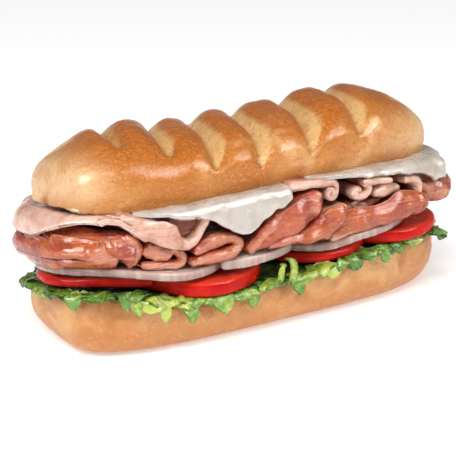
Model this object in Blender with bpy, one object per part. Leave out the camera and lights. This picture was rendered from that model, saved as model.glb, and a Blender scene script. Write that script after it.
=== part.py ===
"""Submarine sandwich: a scored roll filled with lettuce, tomato, onion, ham, turkey and cheese.

X runs along the roll, -Y is its front and +Z is up. The origin is on the table, under the middle of the
roll. Sizes are in millimetres until a mesh is made. The filling is laid out in straight coordinates: u along
the roll, w towards the front and z up. settle() then rounds it to the plan of the roll and presses it
between the two halves.
"""

import math

import bpy
import numpy as np

MM = 0.001
GAP = 0.35

# Roll
ROLL_HALF_LENGTH = 100.0
TOP_LEFT_LENGTH = 98.5
TOP_RIGHT_LENGTH = 94.0
BOTTOM_HALF_WIDTH = 40.5
TOP_HALF_WIDTH = 39.5
PLAN_POWER = 4.0
LOW_CUT_HEIGHT = 22.3
LOW_CUT_RIGHT = 6.2
LOW_CUT_LEFT = 3.4
LOW_CUT_TILT = 0.16
HIGH_CUT_HEIGHT = 64.9
HIGH_CUT_ARCH = 3.1
HIGH_CUT_SLOPE = 0.085
HIGH_CUT_TILT = 0.075
CROWN_HEIGHT = 25.0
CROWN_LEFT = 9.4
CROWN_RIGHT = 7.6
SIDE_BULGE_HEIGHT = 7.0
SECTION_POWER = 2.5
CROWN_POWER_LEFT = 2.5
CROWN_POWER_RIGHT = 2.85
SCORE_LINES = (-68.5, -46.0, -24.5, -2.0, 25.0, 51.0)
SCORE_SHEAR = 0.26
SCORE_CURL = 0.25
SCORE_DEPTH = 5.4
SCORE_RISE = 12.5
SCORE_FALL = 11.0
FALL_POWER = 2.5
BUMP_HEIGHT = 1.9
SCORE_ENDS = (0.34, 0.25, 0.09, 0.03, 0.06, 0.12)

# Filling in its straight coordinates
FILL_HALF_LENGTH = 100.0
FILL_HALF_WIDTH = 42.0
FILL_LOW = 23.0
FILL_HIGH = 69.5
DRIFT_ALONG = 3.5
DRIFT_UP = 0.6

COLOURS = {
    "crust": (0.62, 0.33, 0.12, 1.0),
    "lettuce": (0.16, 0.33, 0.05, 1.0),
    "tomato": (0.62, 0.035, 0.02, 1.0),
    "onion": (0.72, 0.66, 0.60, 1.0),
    "ham": (0.66, 0.24, 0.17, 1.0),
    "turkey": (0.74, 0.55, 0.46, 1.0),
    "cheese": (0.72, 0.67, 0.55, 1.0),
}
ROUGHNESS = {
    "crust": 0.5,
    "lettuce": 0.4,
    "tomato": 0.3,
    "onion": 0.35,
    "ham": 0.35,
    "turkey": 0.4,
    "cheese": 0.35,
}


def clear_scene():
    for obj in list(bpy.data.objects):
        bpy.data.objects.remove(obj, do_unlink=True)


def material(slot):
    found = bpy.data.materials.get(slot)
    if found:
        return found
    made = bpy.data.materials.new(slot)
    made.use_nodes = True
    shader = made.node_tree.nodes["Principled BSDF"]
    shader.inputs["Base Color"].default_value = COLOURS[slot]
    shader.inputs["Roughness"].default_value = ROUGHNESS[slot]
    shader.inputs["Metallic"].default_value = 0.0
    made.diffuse_color = COLOURS[slot]
    return made


def make(name, slot, points, faces):
    """One named object from points in millimetres."""
    mesh = bpy.data.meshes.new(name)
    mesh.from_pydata([tuple(p) for p in np.asarray(points) * MM], [], [tuple(f) for f in faces])
    mesh.materials.append(material(slot))
    mesh.polygons.foreach_set("use_smooth", [True] * len(mesh.polygons))
    mesh.update()
    obj = bpy.data.objects.new(name, mesh)
    bpy.context.scene.collection.objects.link(obj)
    return obj


def smooth_step(low, high, x):
    t = np.clip((np.asarray(x, float) - low) / (high - low), 0.0, 1.0)
    return t * t * (3.0 - 2.0 * t)


def through(points, count):
    """A smooth curve through a few points, at even steps of their numbering."""
    points = np.asarray(points, float)
    ends = np.vstack([2 * points[0] - points[1], points, 2 * points[-1] - points[-2]])
    out = []
    for at in np.linspace(0, len(points) - 1, count):
        k = min(int(at), len(points) - 2)
        t = at - k
        a, b, c, d = ends[k : k + 4]
        out.append(
            0.5 * (2 * b + (c - a) * t + (2 * a - 5 * b + 4 * c - d) * t**2 + (3 * b - a - 3 * c + d) * t**3)
        )
    return np.array(out)


def super_ring(half_length, half_width, power, count):
    """Plan of the roll: count points round a superellipse, closer together where it turns."""
    angle = np.linspace(0, 2 * math.pi, 2001)
    x = half_length * np.sign(np.cos(angle)) * np.abs(np.cos(angle)) ** (2 / power)
    y = half_width * np.sign(np.sin(angle)) * np.abs(np.sin(angle)) ** (2 / power)
    step = np.hypot(np.diff(x), np.diff(y))
    heading = np.unwrap(np.arctan2(np.diff(y), np.diff(x)))
    turn = np.abs(np.diff(heading, append=heading[0] + 2 * math.pi))
    run = np.concatenate([[0], np.cumsum(step / step.sum() + turn / turn.sum())])
    at = np.linspace(0, run[-1], count + 1)[:-1]
    return np.interp(at, run, x), np.interp(at, run, y)


def low_cut(u, w):
    """Height of the lower half's cut face: lowest left of the middle, and askew at the left end."""
    rise = LOW_CUT_RIGHT * smooth_step(-20.0, 80.0, u) + LOW_CUT_LEFT * smooth_step(20.0, 100.0, -u)
    return LOW_CUT_HEIGHT + rise + LOW_CUT_TILT * w * smooth_step(45.0, 90.0, -u)


def high_cut(u, w):
    """Height of the upper half's cut face: arched along, and higher at the front."""
    arch = HIGH_CUT_ARCH * np.exp(-(((u - 25.0) / 70.0) ** 2)) + smooth_step(75.0, 100.0, -u)
    slope = HIGH_CUT_SLOPE + HIGH_CUT_TILT * smooth_step(60.0, 100.0, -u)
    return HIGH_CUT_HEIGHT + arch + slope * w


def press(u, w, z):
    """Height of a point of the filling once it lies between the cut faces."""
    share = (z - FILL_LOW) / (FILL_HIGH - FILL_LOW)
    depth = (FILL_HALF_WIDTH - w) / (2 * FILL_HALF_WIDTH)
    belly = np.clip(4 * share * (1 - share), 0.0, 1.0)
    drift = DRIFT_UP * belly * np.sin(math.pi * np.clip(depth, 0, 1)) * np.sin(u / 14.0)
    low = low_cut(u, w) + GAP
    high = high_cut(u, w) - GAP
    return low + share * (high - low) + drift


def rounded(u, w):
    """A rectangle of the filling's size turned into the plan of the roll."""
    p = np.abs(u) / FILL_HALF_LENGTH
    q = np.abs(w) / FILL_HALF_WIDTH
    square = (p**12 + q**12 + 1e-12) ** (1 / 12)
    plan = (p**PLAN_POWER + q**PLAN_POWER + 1e-12) ** (1 / PLAN_POWER)
    return u * square / plan, w * square / plan


def settle(points):
    """Points of the straight filling moved to their places in the sandwich."""
    u, w, z = np.asarray(points, float).T
    depth = np.clip((FILL_HALF_WIDTH - w) / (2 * FILL_HALF_WIDTH), 0, 1)
    u = u + DRIFT_ALONG * depth * np.sin(z / 5.5) * np.cos(u / FILL_HALF_LENGTH * 1.2)
    u, w = rounded(u, w)
    return np.column_stack([u, -w, press(u, w, z)])


def lie(points):
    """Points that already have their plan position, pressed to their height."""
    u, w, z = np.asarray(points, float).T
    return np.column_stack([u, -w, press(u, w, z)])


def ring_faces(rings, count, first_cap, last_cap):
    """Triangles between rings of count points, closed at both ends by a centre point."""
    faces = []
    for r in range(rings - 1):
        for i in range(count):
            a = r * count + i
            b = r * count + (i + 1) % count
            faces.append((a, b, b + count))
            faces.append((a, b + count, a + count))
    last = (rings - 1) * count
    for i in range(count):
        j = (i + 1) % count
        faces.append((first_cap, j, i))
        faces.append((last_cap, last + i, last + j))
    return faces


def oriented(points, faces):
    """The faces turned so that they look outwards."""
    p = np.asarray(points)
    f = np.asarray(faces)
    volume = np.einsum("ij,ij->i", p[f[:, 0]], np.cross(p[f[:, 1]], p[f[:, 2]])).sum()
    return f if volume > 0 else f[:, ::-1]


# Lower half of the roll
BASE_STEPS = ((12.5, 0.0), (6.2, 2.2), (2.0, 6.8), (0.2, 12.5), (0.0, 18.0))
RIM_STEPS = ((0.5, -2.0), (3.0, 0.0))
RING_POINTS = 48
CUT_SHARES = (0.72, 0.42)
CUT_DISH = 0.5


def make_bottom():
    rings = []
    for inset, height in BASE_STEPS:
        x, y = super_ring(ROLL_HALF_LENGTH - inset, BOTTOM_HALF_WIDTH - inset, PLAN_POWER, RING_POINTS)
        lift = height / BASE_STEPS[-1][1] * (low_cut(x, -y) - LOW_CUT_HEIGHT) * 0.8
        rings.append(np.column_stack([x, y, height + lift]))
    for inset, under in RIM_STEPS:
        x, y = super_ring(ROLL_HALF_LENGTH - inset, BOTTOM_HALF_WIDTH - inset, PLAN_POWER, RING_POINTS)
        rings.append(np.column_stack([x, y, low_cut(x, -y) + under]))
    for share in CUT_SHARES:
        x, y = super_ring(ROLL_HALF_LENGTH * share, BOTTOM_HALF_WIDTH * share, PLAN_POWER, RING_POINTS)
        rings.append(np.column_stack([x, y, low_cut(x, -y) - CUT_DISH]))
    points = np.vstack(rings + [[[0, 0, 0], [0, 0, LOW_CUT_HEIGHT - CUT_DISH]]])
    count = len(rings)
    faces = ring_faces(count, RING_POINTS, count * RING_POINTS, count * RING_POINTS + 1)
    make("bun_bottom", "crust", points, oriented(points, faces))


# Upper half of the roll
END_STATIONS = (0.9995, 0.99, 0.965, 0.92, 0.85)
SCORE_OFFSETS = (-6.0, -1.6, 0.0, 5.0, 11.0)
DOME_POINTS = 13


def score_relief(x, side):
    """Height over the plain dome: bumps between the scores, gentle after a score and steep before the next."""
    relief = np.zeros(np.broadcast(x, side).shape)
    bounds = (-TOP_LEFT_LENGTH,) + SCORE_LINES + (TOP_RIGHT_LENGTH,)
    fades = [smooth_step(e - 0.06, e + 0.07, side) * smooth_step(0.0, 0.14, 0.88 - side) for e in SCORE_ENDS]
    fades = [0 * fades[0]] + fades + [0 * fades[-1]]
    for k, (left, right) in enumerate(zip(bounds[:-1], bounds[1:])):
        share = np.clip((x - left) / (right - left), 0, 1)
        rise = np.sin(np.clip((x - left) / SCORE_RISE, 0, 1) * math.pi / 2) if k else 1.0
        fall = 1.0
        if k < len(SCORE_LINES):
            fall = np.sqrt(1 - np.clip(1 - (right - x) / SCORE_FALL, 0, 1) ** FALL_POWER)
        bump = rise * fall
        trough = SCORE_DEPTH * (fades[k] * (1 - share) + fades[k + 1] * share)
        crest = BUMP_HEIGHT * np.maximum(fades[k], fades[k + 1])
        relief = np.where((x >= left) & (x < right), crest * bump - trough * (1 - bump), relief)
    return relief


def dome_section(half_width, height):
    """Closed outline across the upper half: share round it from the front rim, w and rise over the cut."""
    side = np.linspace(0, 1, DOME_POINTS)
    angle = side * math.pi
    upper = height - SIDE_BULGE_HEIGHT
    across = np.sign(np.cos(angle)) * np.abs(np.cos(angle)) ** (2 / SECTION_POWER)
    rise = SIDE_BULGE_HEIGHT + upper * np.abs(np.sin(angle)) ** (2 / SECTION_POWER)
    w = half_width * across
    tuck_w = half_width * np.array([0.965, 0.995])
    tuck_rise = SIDE_BULGE_HEIGHT * np.array([0.0, 0.42])
    w = np.concatenate([tuck_w, w, -tuck_w[::-1]])
    rise = np.concatenate([tuck_rise, rise, tuck_rise[::-1]])
    side = np.concatenate([[0, 0], side, [1, 1]])
    return side, w, rise


def top_stations():
    left = [-TOP_LEFT_LENGTH * s for s in END_STATIONS]
    right = [TOP_RIGHT_LENGTH * s for s in END_STATIONS]
    middle = [line + offset for line in SCORE_LINES for offset in SCORE_OFFSETS]
    return sorted(left + middle + [SCORE_LINES[-1] + 18.0] + right)


def make_top():
    rings = []
    for station in top_stations():
        reach = abs(station) / (TOP_LEFT_LENGTH if station < 0 else TOP_RIGHT_LENGTH)
        half_width = TOP_HALF_WIDTH * (1 - reach**PLAN_POWER) ** (1 / PLAN_POWER)
        crown = CROWN_HEIGHT + CROWN_LEFT * smooth_step(30.0, 74.0, -station)
        crown += CROWN_RIGHT * smooth_step(5.0, 70.0, station)
        upper = crown - SIDE_BULGE_HEIGHT
        power = CROWN_POWER_LEFT if station < 0 else CROWN_POWER_RIGHT
        height = SIDE_BULGE_HEIGHT + upper * (1 - reach**power) ** (1 / power)
        side, w, rise = dome_section(half_width, height)
        lean = SCORE_SHEAR * w - SCORE_CURL * np.minimum(w, 0.0) ** 2 / TOP_HALF_WIDTH
        x = station - lean * (1 - reach**5)
        relief = score_relief(station, side) * (1 - reach**8)
        push = (rise - SIDE_BULGE_HEIGHT).clip(0) / upper
        z = high_cut(x, w) + rise + relief * push**0.4
        w = w * (1 + relief * 0.5 / TOP_HALF_WIDTH * (1 - push))
        rings.append(np.column_stack([x, -w, z]))
    count = len(rings[0])
    points = np.vstack(rings)
    first = rings[0].mean(axis=0) + [-0.4, 0, 0]
    last = rings[-1].mean(axis=0) + [0.4, 0, 0]
    points = np.vstack([points, first, last])
    faces = ring_faces(len(rings), count, len(points) - 2, len(points) - 1)
    make("bun_top", "crust", points, oriented(points, faces))


# Slices of ham and turkey: a path across the front, the thickness along it and the reach front and back
SECTION_NOSE = 4
FILL_STEPS = 1
ROLL_PITCH = 1.55
THIN_END = 0.5
END_ROUND = 0.7


def slice_piece(name, slot, path, front, back, count):
    """A slice seen from its folded edge: path holds (u, z, thickness) and runs right through the filling."""
    line = through(path, count)
    along = np.gradient(line[:, :2], axis=0)
    along /= np.linalg.norm(along, axis=1)[:, None]
    normal = np.column_stack([-along[:, 1], along[:, 0]])
    half = np.maximum(line[:, 2], 0.8) / 2
    rows = [(line[0, :2] - along[0] * half[0] * END_ROUND, normal[0], half[0] * THIN_END)]
    rows += [(line[k, :2], normal[k], half[k]) for k in range(count)]
    rows.append((line[-1, :2] + along[-1] * half[-1] * END_ROUND, normal[-1], half[-1] * THIN_END))
    angle = np.linspace(-math.pi / 2, math.pi / 2, SECTION_NOSE)
    rings = []
    for centre, across, thick in rows:
        middle = np.linspace(front - thick, -back + thick, FILL_STEPS + 2)[1:-1]
        reach = np.concatenate(
            [
                front - thick + thick * np.cos(angle),
                middle,
                -back + thick - thick * np.cos(angle),
                middle[::-1],
            ]
        )
        off = np.concatenate(
            [
                thick * np.sin(angle),
                np.full(FILL_STEPS, thick),
                thick * np.sin(angle[::-1]),
                np.full(FILL_STEPS, -thick),
            ]
        )
        rings.append(np.column_stack([centre[0] + across[0] * off, reach, centre[1] + across[1] * off]))
    size = len(rings[0])
    points = np.vstack(rings + [rings[0].mean(axis=0)[None], rings[-1].mean(axis=0)[None]])
    points = settle(points)
    faces = ring_faces(len(rings), size, len(points) - 2, len(points) - 1)
    make(name, slot, points, oriented(points, faces))


def rolled(centre, radius, thick, turns, start, tail, squash=1.0):
    """Path of a slice rolled up on itself: from the inside of the roll out, then along a straight tail."""
    steps = max(int(turns * 8), 4)
    path = []
    for k in range(steps + 1):
        share = k / steps
        angle = math.radians(start) + 2 * math.pi * turns * (share - 1)
        reach = radius - (1 - share) * turns * thick * ROLL_PITCH
        u = centre[0] + reach * math.cos(angle) * squash
        path.append((u, centre[1] + reach * math.sin(angle), thick))
    return path + list(tail)


HAM = (
    # name, path of (u, z, thickness), front reach, back reach, stations
    (
        "ham_1",
        ((-105.0, 47.6, 9.6), (-99.5, 48.6, 14.0), (-93, 48.7, 14.4), (-89.5, 48.2, 10.0)),
        43.2, 40.5, 9,
    ),
    (
        "ham_2",
        ((-86.0, 55.8, 2.6), (-81.6, 53.4, 4.4), (-79.9, 48.8, 5.0), (-82.4, 43.8, 3.0)),
        44.0, 41.0, 11,
    ),
    ("ham_3", ((-72.8, 48.4, 5.2), (-69.4, 48.8, 8.8), (-65.2, 48.0, 6.4)), 42.4, 40.0, 7),
    (
        "ham_4",
        (
            (-61, 48.6, 2.4), (-57.2, 48.6, 2.8), (-53.8, 45.0, 2.8),
            (-57.4, 41.7, 2.6), (-66, 41.5, 2.5), (-76, 41.5, 2.2),
        ),
        43.0, 41.0, 12,
    ),
    (
        "ham_5",
        (
            (-49.2, 42.7, 2.8), (-42, 43.0, 3.4), (-31, 43.8, 3.8), (-25.4, 47.4, 3.2),
            (-31, 50.8, 3.8), (-39, 50.0, 4.2), (-46.5, 47.6, 3.0),
        ),
        43.5, 41.0, 15,
    ),
    ("ham_6", ((-19.5, 44.2, 3.4), (-10, 51.4, 5.4), (3, 58.4, 5.4), (13.2, 61.4, 3.8)), 45.0, 42.0, 10),
    ("ham_7", ((-3, 49.0, 2.4), (5, 49.8, 4.6), (11, 52.0, 6.4), (15.0, 56.8, 3.0)), 43.0, 40.0, 8),
    (
        "ham_8",
        ((-11, 44.0, 2.0), (0, 44.7, 2.6), (11, 44.9, 4.0), (20, 48.4, 8.8), (27.5, 53.0, 3.4)),
        46.0, 42.0, 12,
    ),
    ("ham_9", ((32, 48.2, 3.4), (40, 49.9, 4.0), (46, 48.9, 3.4), (54, 51.0, 2.6)), 38.5, 38.0, 8),
    (
        "ham_10",
        (
            (24, 39.8, 2.8), (38, 42.0, 4.6), (52, 44.2, 6.2),
            (66, 46.4, 9.2), (78, 46.4, 9.6), (85, 45.0, 6.0),
        ),
        44.5, 42.0, 12,
    ),
    ("ham_11", ((85.5, 54.6, 5.0), (91, 51.8, 9.0), (98, 48.4, 12.0), (103.5, 46.4, 10.5)), 43.0, 41.0, 8),
)

TURKEY = (
    (
        "turkey_2",
        (
            (-89, 67.4, 2.4), (-81, 65.2, 3.4), (-72, 62.2, 4.8), (-64, 57.8, 6.2), (-58, 53.6, 4.8),
            (-52, 51.7, 3.2), (-46.6, 54.2, 3.0), (-43.8, 58.8, 3.0), (-42.6, 62.2, 2.4),
        ),
        44.6, 42.0, 18,
    ),
    ("turkey_5", ((67, 60.2, 2.4), (74.5, 59.4, 2.8), (79, 56.4, 3.0), (79, 53.6, 2.4)), 45.0, 42.0, 8),
    ("turkey_6", ((49.5, 55.8, 3.2), (56, 56.4, 6.0), (63, 56.0, 3.6)), 43.5, 41.0, 7),
)

ROLLS = (
    # name, centre, outer reach, thickness, turns, angle where the tail leaves, tail, squash
    ("turkey_3", (22.3, 61.4), 4.3, 2.1, 1.2, 95.0, ((12, 67.2, 2.6), (2, 67.3, 2.8)), 1.0),
    ("turkey_4", (38.5, 58.8), 4.4, 2.6, 0.9, 70.0, ((46.5, 62.6, 2.6), (55, 62.0, 2.4)), 1.35),
)
ROLL_STATIONS = 1.6


def make_meats():
    for name, path, front, back, count in HAM:
        slice_piece(name, "ham", path, front, back, count)
    for name, path, front, back, count in TURKEY:
        slice_piece(name, "turkey", path, front, back, count)
    for name, centre, reach, thick, turns, leave, tail, squash in ROLLS:
        path = rolled(centre, reach, thick, turns, leave, tail, squash)
        slice_piece(name, "turkey", path, 44.5, 41.5, int(ROLL_STATIONS * len(path)))


# Sheets that lie over the filling and hang down over its edge
SHEET_EDGE = 0.6
SHEET_ROUND = 0.35
SHEET_LIMIT_U = 97.0
SHEET_LIMIT_W = 41.5
HANG_CUTS = 3


def drape(p, q, top, limit_u, limit_w, bend):
    """A point of a flat sheet laid over the filling: past the limits it bends over and hangs."""
    over_u = np.maximum(np.abs(p) - limit_u, 0)
    over_w = np.maximum(np.abs(q) - limit_w, 0)
    over = np.hypot(over_u, over_w) + 1e-9
    out = bend * (1 - np.exp(-over / bend))
    u = np.clip(p, -limit_u, limit_u) + np.sign(p) * over_u / over * out
    w = np.clip(q, -limit_w, limit_w) + np.sign(q) * over_w / over * out
    return np.column_stack([u, w, top - (over - out)])


def shell(name, slot, grid, thick, rim=True):
    """A sheet of one thickness from a grid of its middle surface, with a rounded rim or a square one."""
    rows, cols = grid.shape[:2]
    along = np.gradient(grid, axis=0)
    across = np.gradient(grid, axis=1)
    normal = np.cross(along, across)
    normal /= np.linalg.norm(normal, axis=2)[:, :, None]
    edge = np.ones((rows, cols))
    edge[[0, -1], :] = SHEET_EDGE
    edge[:, [0, -1]] = SHEET_EDGE
    up = grid + normal * (edge * thick / 2)[:, :, None]
    down = grid - normal * (edge * thick / 2)[:, :, None]
    loop = [(i, 0) for i in range(rows)]
    loop += [(rows - 1, j) for j in range(1, cols)]
    loop += [(i, cols - 1) for i in range(rows - 2, -1, -1)]
    loop += [(0, j) for j in range(cols - 2, 0, -1)]
    edge_points = []
    for i, j in loop:
        inner = (min(max(i, 1), rows - 2), min(max(j, 1), cols - 2))
        out = grid[i, j] - grid[inner]
        edge_points.append(grid[i, j] + out / (np.linalg.norm(out) + 1e-9) * thick * SHEET_ROUND)
    points = [up.reshape(-1, 3), down.reshape(-1, 3)]
    if rim:
        points.append(edge_points)
    points = np.vstack(points)
    base = rows * cols
    faces = []
    for i in range(rows - 1):
        for j in range(cols - 1):
            a, b = i * cols + j, (i + 1) * cols + j
            faces += [(a, b, b + 1), (a, b + 1, a + 1)]
            faces += [(base + a, base + b + 1, base + b), (base + a, base + a + 1, base + b + 1)]
    for k in range(len(loop)):
        m = (k + 1) % len(loop)
        a, b = loop[k][0] * cols + loop[k][1], loop[m][0] * cols + loop[m][1]
        c, d = 2 * base + k, 2 * base + m
        if rim:
            faces += [(a, c, d), (a, d, b), (c, base + a, base + b), (c, base + b, d)]
        else:
            faces += [(a, base + a, base + b), (a, base + b, b)]
    return make(name, slot, points, oriented(points, faces))


SHEETS = (
    # name, slot, (p, height, front hang, back hang) along it, bend, thickness, stations, cuts, swing
    (
        "turkey_1", "turkey",
        (
            (-115, 64.4, 0.5, 2.0), (-105, 64.6, 2.0, 5.0), (-95, 64.3, 3.2, 6.0),
            (-88, 62.2, 3.6, 5.0), (-80, 58.6, 3.6, 5.0), (-74, 55.6, 2.6, 3.0),
        ),
        9.0, 2.4, 10, 12, 12.0,
    ),
    (
        "cheese_1", "cheese",
        (
            (-78, 68.2, 2.2, 2.0), (-62, 68.2, 5.5, 6.0), (-44, 68.2, 10.5, 9.0), (-35, 68.2, 16.0, 10.0),
            (-24, 68.2, 20.4, 9.0), (-16, 68.2, 18.0, 8.0), (-8, 68.2, 13.0, 7.0), (-0.8, 68.2, 9.0, 6.0),
        ),
        4.8, 2.2, 12, 13, 0.0,
    ),
    (
        "cheese_2", "cheese",
        (
            (28, 68.2, 2.6, 4.0), (50, 68.2, 7.0, 8.0), (68, 68.2, 9.5, 10.0),
            (82, 68.2, 13.5, 9.0), (95, 68.2, 15.0, 7.0), (106, 68.2, 8.0, 6.0),
        ),
        5.0, 2.2, 10, 13, 0.0,
    ),
)
def make_sheets():
    for name, slot, along, bend, thick, rows, cols, swing in SHEETS:
        line = through(along, rows)
        grid = np.zeros((rows, cols, 3))
        for i, (p, top, front, back) in enumerate(line):
            low, high = -SHEET_LIMIT_W - back, SHEET_LIMIT_W + front
            q = np.concatenate(
                [
                    np.linspace(low, -SHEET_LIMIT_W, HANG_CUTS + 1)[:-1],
                    np.linspace(-SHEET_LIMIT_W, SHEET_LIMIT_W, cols - 2 * HANG_CUTS),
                    np.linspace(SHEET_LIMIT_W, high, HANG_CUTS + 1)[1:],
                ]
            )
            pull = swing * smooth_step(-5.0, 35.0, q) * (1 - i / (rows - 1)) ** 2
            straight = drape(p + pull, q, top, SHEET_LIMIT_U, SHEET_LIMIT_W, bend)
            grid[i] = settle(straight)
        shell(name, slot, grid, thick)


# Round slices of tomato and onion
SLICE_POINTS = 26
SLICE_CLEARANCE = 1.5


def reach_of(centre, radius, angle, avoid, chord):
    """Distance from the centre to the edge of a slice that gives way to round neighbours and a cut."""
    low, high = 0.0, radius
    direction = np.array([math.cos(angle), math.sin(angle)])

    def free(distance):
        at = np.array(centre) + direction * distance
        clear = all(math.hypot(at[0] - c[0], at[1] - c[1]) > c[2] + SLICE_CLEARANCE for c in avoid)
        return clear and (chord is None or (at[0] - chord[0]) * chord[1] >= 0)

    if free(high):
        return high
    for _ in range(24):
        middle = (low + high) / 2
        low, high = (middle, high) if free(middle) else (low, middle)
    return low


SLICES = (
    # name, slot, kernel point, circle centre and radius, low at left and right, thickness, avoid, chord
    ("tomato_1", "tomato", (-86, 6), (-71, 3, 31), (28.2, 28.2), 4.6, ((-35, 12, 33.5),), None),
    ("tomato_2", "tomato", (-35, 12), (-35, 12, 33.5), (25.6, 25.6), 6.8, (), None),
    ("tomato_3", "tomato", (24, 14), (30, 15, 26.5), (26.6, 26.6), 4.2, ((68, 18, 27),), None),
    ("tomato_4", "tomato", (68, 18), (68, 18, 27), (27.2, 27.2), 6.4, (), None),
    ("onion_1", "onion", (-57, 0), (-57, 0, 44.5), (34.4, 34.4), 4.6, (), None),
    ("onion_2", "onion", (-10, 39), (-18, 2, 43), (36.2, 36.2), 4.4, ((-57, 0, 44.5),), (4.5, -1)),
    ("onion_3", "onion", (43, 4), (43, 4, 41.5), (31.3, 34.4), 4.2, (), (6.0, 1)),
)
SLICE_INSETS = (
    # share towards the kernel, inset in millimetres, share of the thickness
    (0.45, 1.6, 0.0), (0.0, 1.6, 0.0), (0.0, 0.0, 0.35), (0.0, 0.2, 0.8), (0.0, 1.6, 1.0), (0.45, 1.6, 1.0),
)
SLICE_RISE = (18.0, 42.0)
ARC_DEPTH = 24.0


def make_slices():
    for name, slot, kernel, circle, lows, thick, avoid, chord in SLICES:
        centre = np.array(circle[:2])
        outline = []
        for k in range(SLICE_POINTS):
            angle = 2 * math.pi * k / SLICE_POINTS
            direction = np.array([math.cos(angle), math.sin(angle)])
            offset = np.array(kernel) - centre
            along = offset @ direction
            to_circle = -along + math.sqrt(max(along**2 - offset @ offset + circle[2] ** 2, 0))
            to_circle = min(to_circle, ARC_DEPTH) if avoid and chord else to_circle
            outline.append((direction, reach_of(kernel, to_circle, angle, avoid, chord)))
        rings = []
        for share, inset, level in SLICE_INSETS:
            ring = [np.array(kernel) + d * max(r - inset, 0.4) * (1 - share) for d, r in outline]
            rings.append((np.array(ring), level))
        points = []
        for ring, level in rings + [(np.array([kernel]), 0.0), (np.array([kernel]), 1.0)]:
            rise = lows[0] + (lows[1] - lows[0]) * smooth_step(*SLICE_RISE, ring[:, 0])
            points.append(np.column_stack([ring, rise + level * thick]))
        points = lie(np.vstack(points))
        faces = ring_faces(len(rings), SLICE_POINTS, len(points) - 2, len(points) - 1)
        make(name, slot, points, oriented(points, faces))


# Lettuce: a low bed with shreds round its edge
BED_POINTS = 40
BED_RINGS = ((0.3, 0.0), (0.64, 0.0), (0.93, 0.0), (0.965, 0.5), (0.93, 1.0), (0.64, 1.0), (0.3, 1.0))
BED_LOW = 23.2
BED_HIGH = 24.9
SHRED_COUNT = 28
SHRED_REACH = (92.0, 34.0)
SHRED_SEED = 7
SHRED_THICK = 1.0


def around(share):
    """A place on the edge of the straight filling, from its front left corner on, with the way out."""
    length, width = 2 * FILL_HALF_LENGTH, 2 * FILL_HALF_WIDTH
    at = (share % 1.0) * 2 * (length + width)
    if at < length:
        return (at - FILL_HALF_LENGTH, FILL_HALF_WIDTH), (0.0, 1.0)
    if at < length + width:
        return (FILL_HALF_LENGTH, FILL_HALF_WIDTH - (at - length)), (1.0, 0.0)
    if at < 2 * length + width:
        return (FILL_HALF_LENGTH - (at - length - width), -FILL_HALF_WIDTH), (0.0, -1.0)
    return (-FILL_HALF_LENGTH, at - 2 * length - width - FILL_HALF_WIDTH), (-1.0, 0.0)


def shred(rng, share):
    """One strip that starts inside the bed, comes out over the rim and droops or curls up."""
    (u, w), (du, dw) = around(share)
    u = u if du else min(max(u, -SHRED_REACH[0]), SHRED_REACH[0])
    w = w if dw else min(max(w, -SHRED_REACH[1]), SHRED_REACH[1])
    half = rng.uniform(2.4, 4.4)
    droop = rng.uniform(-0.5, 5.5)
    skew = rng.uniform(-0.5, 0.5)
    wave = rng.uniform(0.4, 1.1)
    steps = ((-6.0, 24.1), (-0.4, 24.2), (1.4, 23.8 - 0.4 * droop), (2.0, 22.2 - 1.5 * droop))
    grid = np.zeros((len(steps), 3, 3))
    for i, (out, height) in enumerate(steps):
        for j, side in enumerate((-1.0, 0.0, 1.0)):
            taper = 1.0 if i < len(steps) - 1 else 0.55
            along = side * half * taper + skew * max(out, 0.0)
            ripple = wave * math.cos(math.pi * side) * (0.1 if i == 0 else 0.35)
            reach = out + 0.5 * wave * side * side
            grid[i, j] = (u + du * reach + dw * along, w + dw * reach + du * along, height + ripple)
    return grid


def make_lettuce():
    rings = []
    for share, level in BED_RINGS:
        x, y = super_ring(FILL_HALF_LENGTH * share, FILL_HALF_WIDTH * share, PLAN_POWER, BED_POINTS)
        rings.append(np.column_stack([x, y, np.full(BED_POINTS, BED_LOW + level * (BED_HIGH - BED_LOW))]))
    points = np.vstack(rings + [[[0, 0, BED_LOW], [0, 0, BED_HIGH]]])
    faces = ring_faces(len(rings), BED_POINTS, len(points) - 2, len(points) - 1)
    points = lie(points)
    bed = make("lettuce", "lettuce", points, oriented(points, faces))
    shreds = bpy.data.collections.new("shreds")
    rng = np.random.default_rng(SHRED_SEED)
    for k in range(SHRED_COUNT):
        grid = shred(rng, (k + rng.uniform(-0.25, 0.25)) / SHRED_COUNT)
        settled = settle(grid.reshape(-1, 3)).reshape(grid.shape)
        piece = shell("shred", "lettuce", settled, SHRED_THICK, rim=False)
        bpy.context.scene.collection.objects.unlink(piece)
        shreds.objects.link(piece)
    join(bed, shreds)


def join(body, collection):
    """The body with every piece of the collection fused on."""
    union = body.modifiers.new("join", "BOOLEAN")
    union.operation = "UNION"
    union.operand_type = "COLLECTION"
    union.collection = collection
    union.solver = "MANIFOLD"
    bpy.context.view_layer.update()
    graph = bpy.context.evaluated_depsgraph_get()
    fused = bpy.data.meshes.new_from_object(body.evaluated_get(graph))
    body.modifiers.clear()
    body.data = fused
    for piece in list(collection.objects):
        bpy.data.objects.remove(piece, do_unlink=True)
    bpy.data.collections.remove(collection)


def main():
    clear_scene()
    make_bottom()
    make_lettuce()
    make_slices()
    make_meats()
    make_sheets()
    make_top()


main()
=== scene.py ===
"""Looks of the submarine sandwich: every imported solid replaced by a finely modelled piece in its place.

X runs along the roll, -Y is its front and +Z is up. The layout is worked out in millimetres with the same
named sizes as the solids: u along the roll, w towards the front and z up in a straight filling. settle()
rounds it to the plan of the roll and presses it between the two halves.
"""

import math

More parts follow.
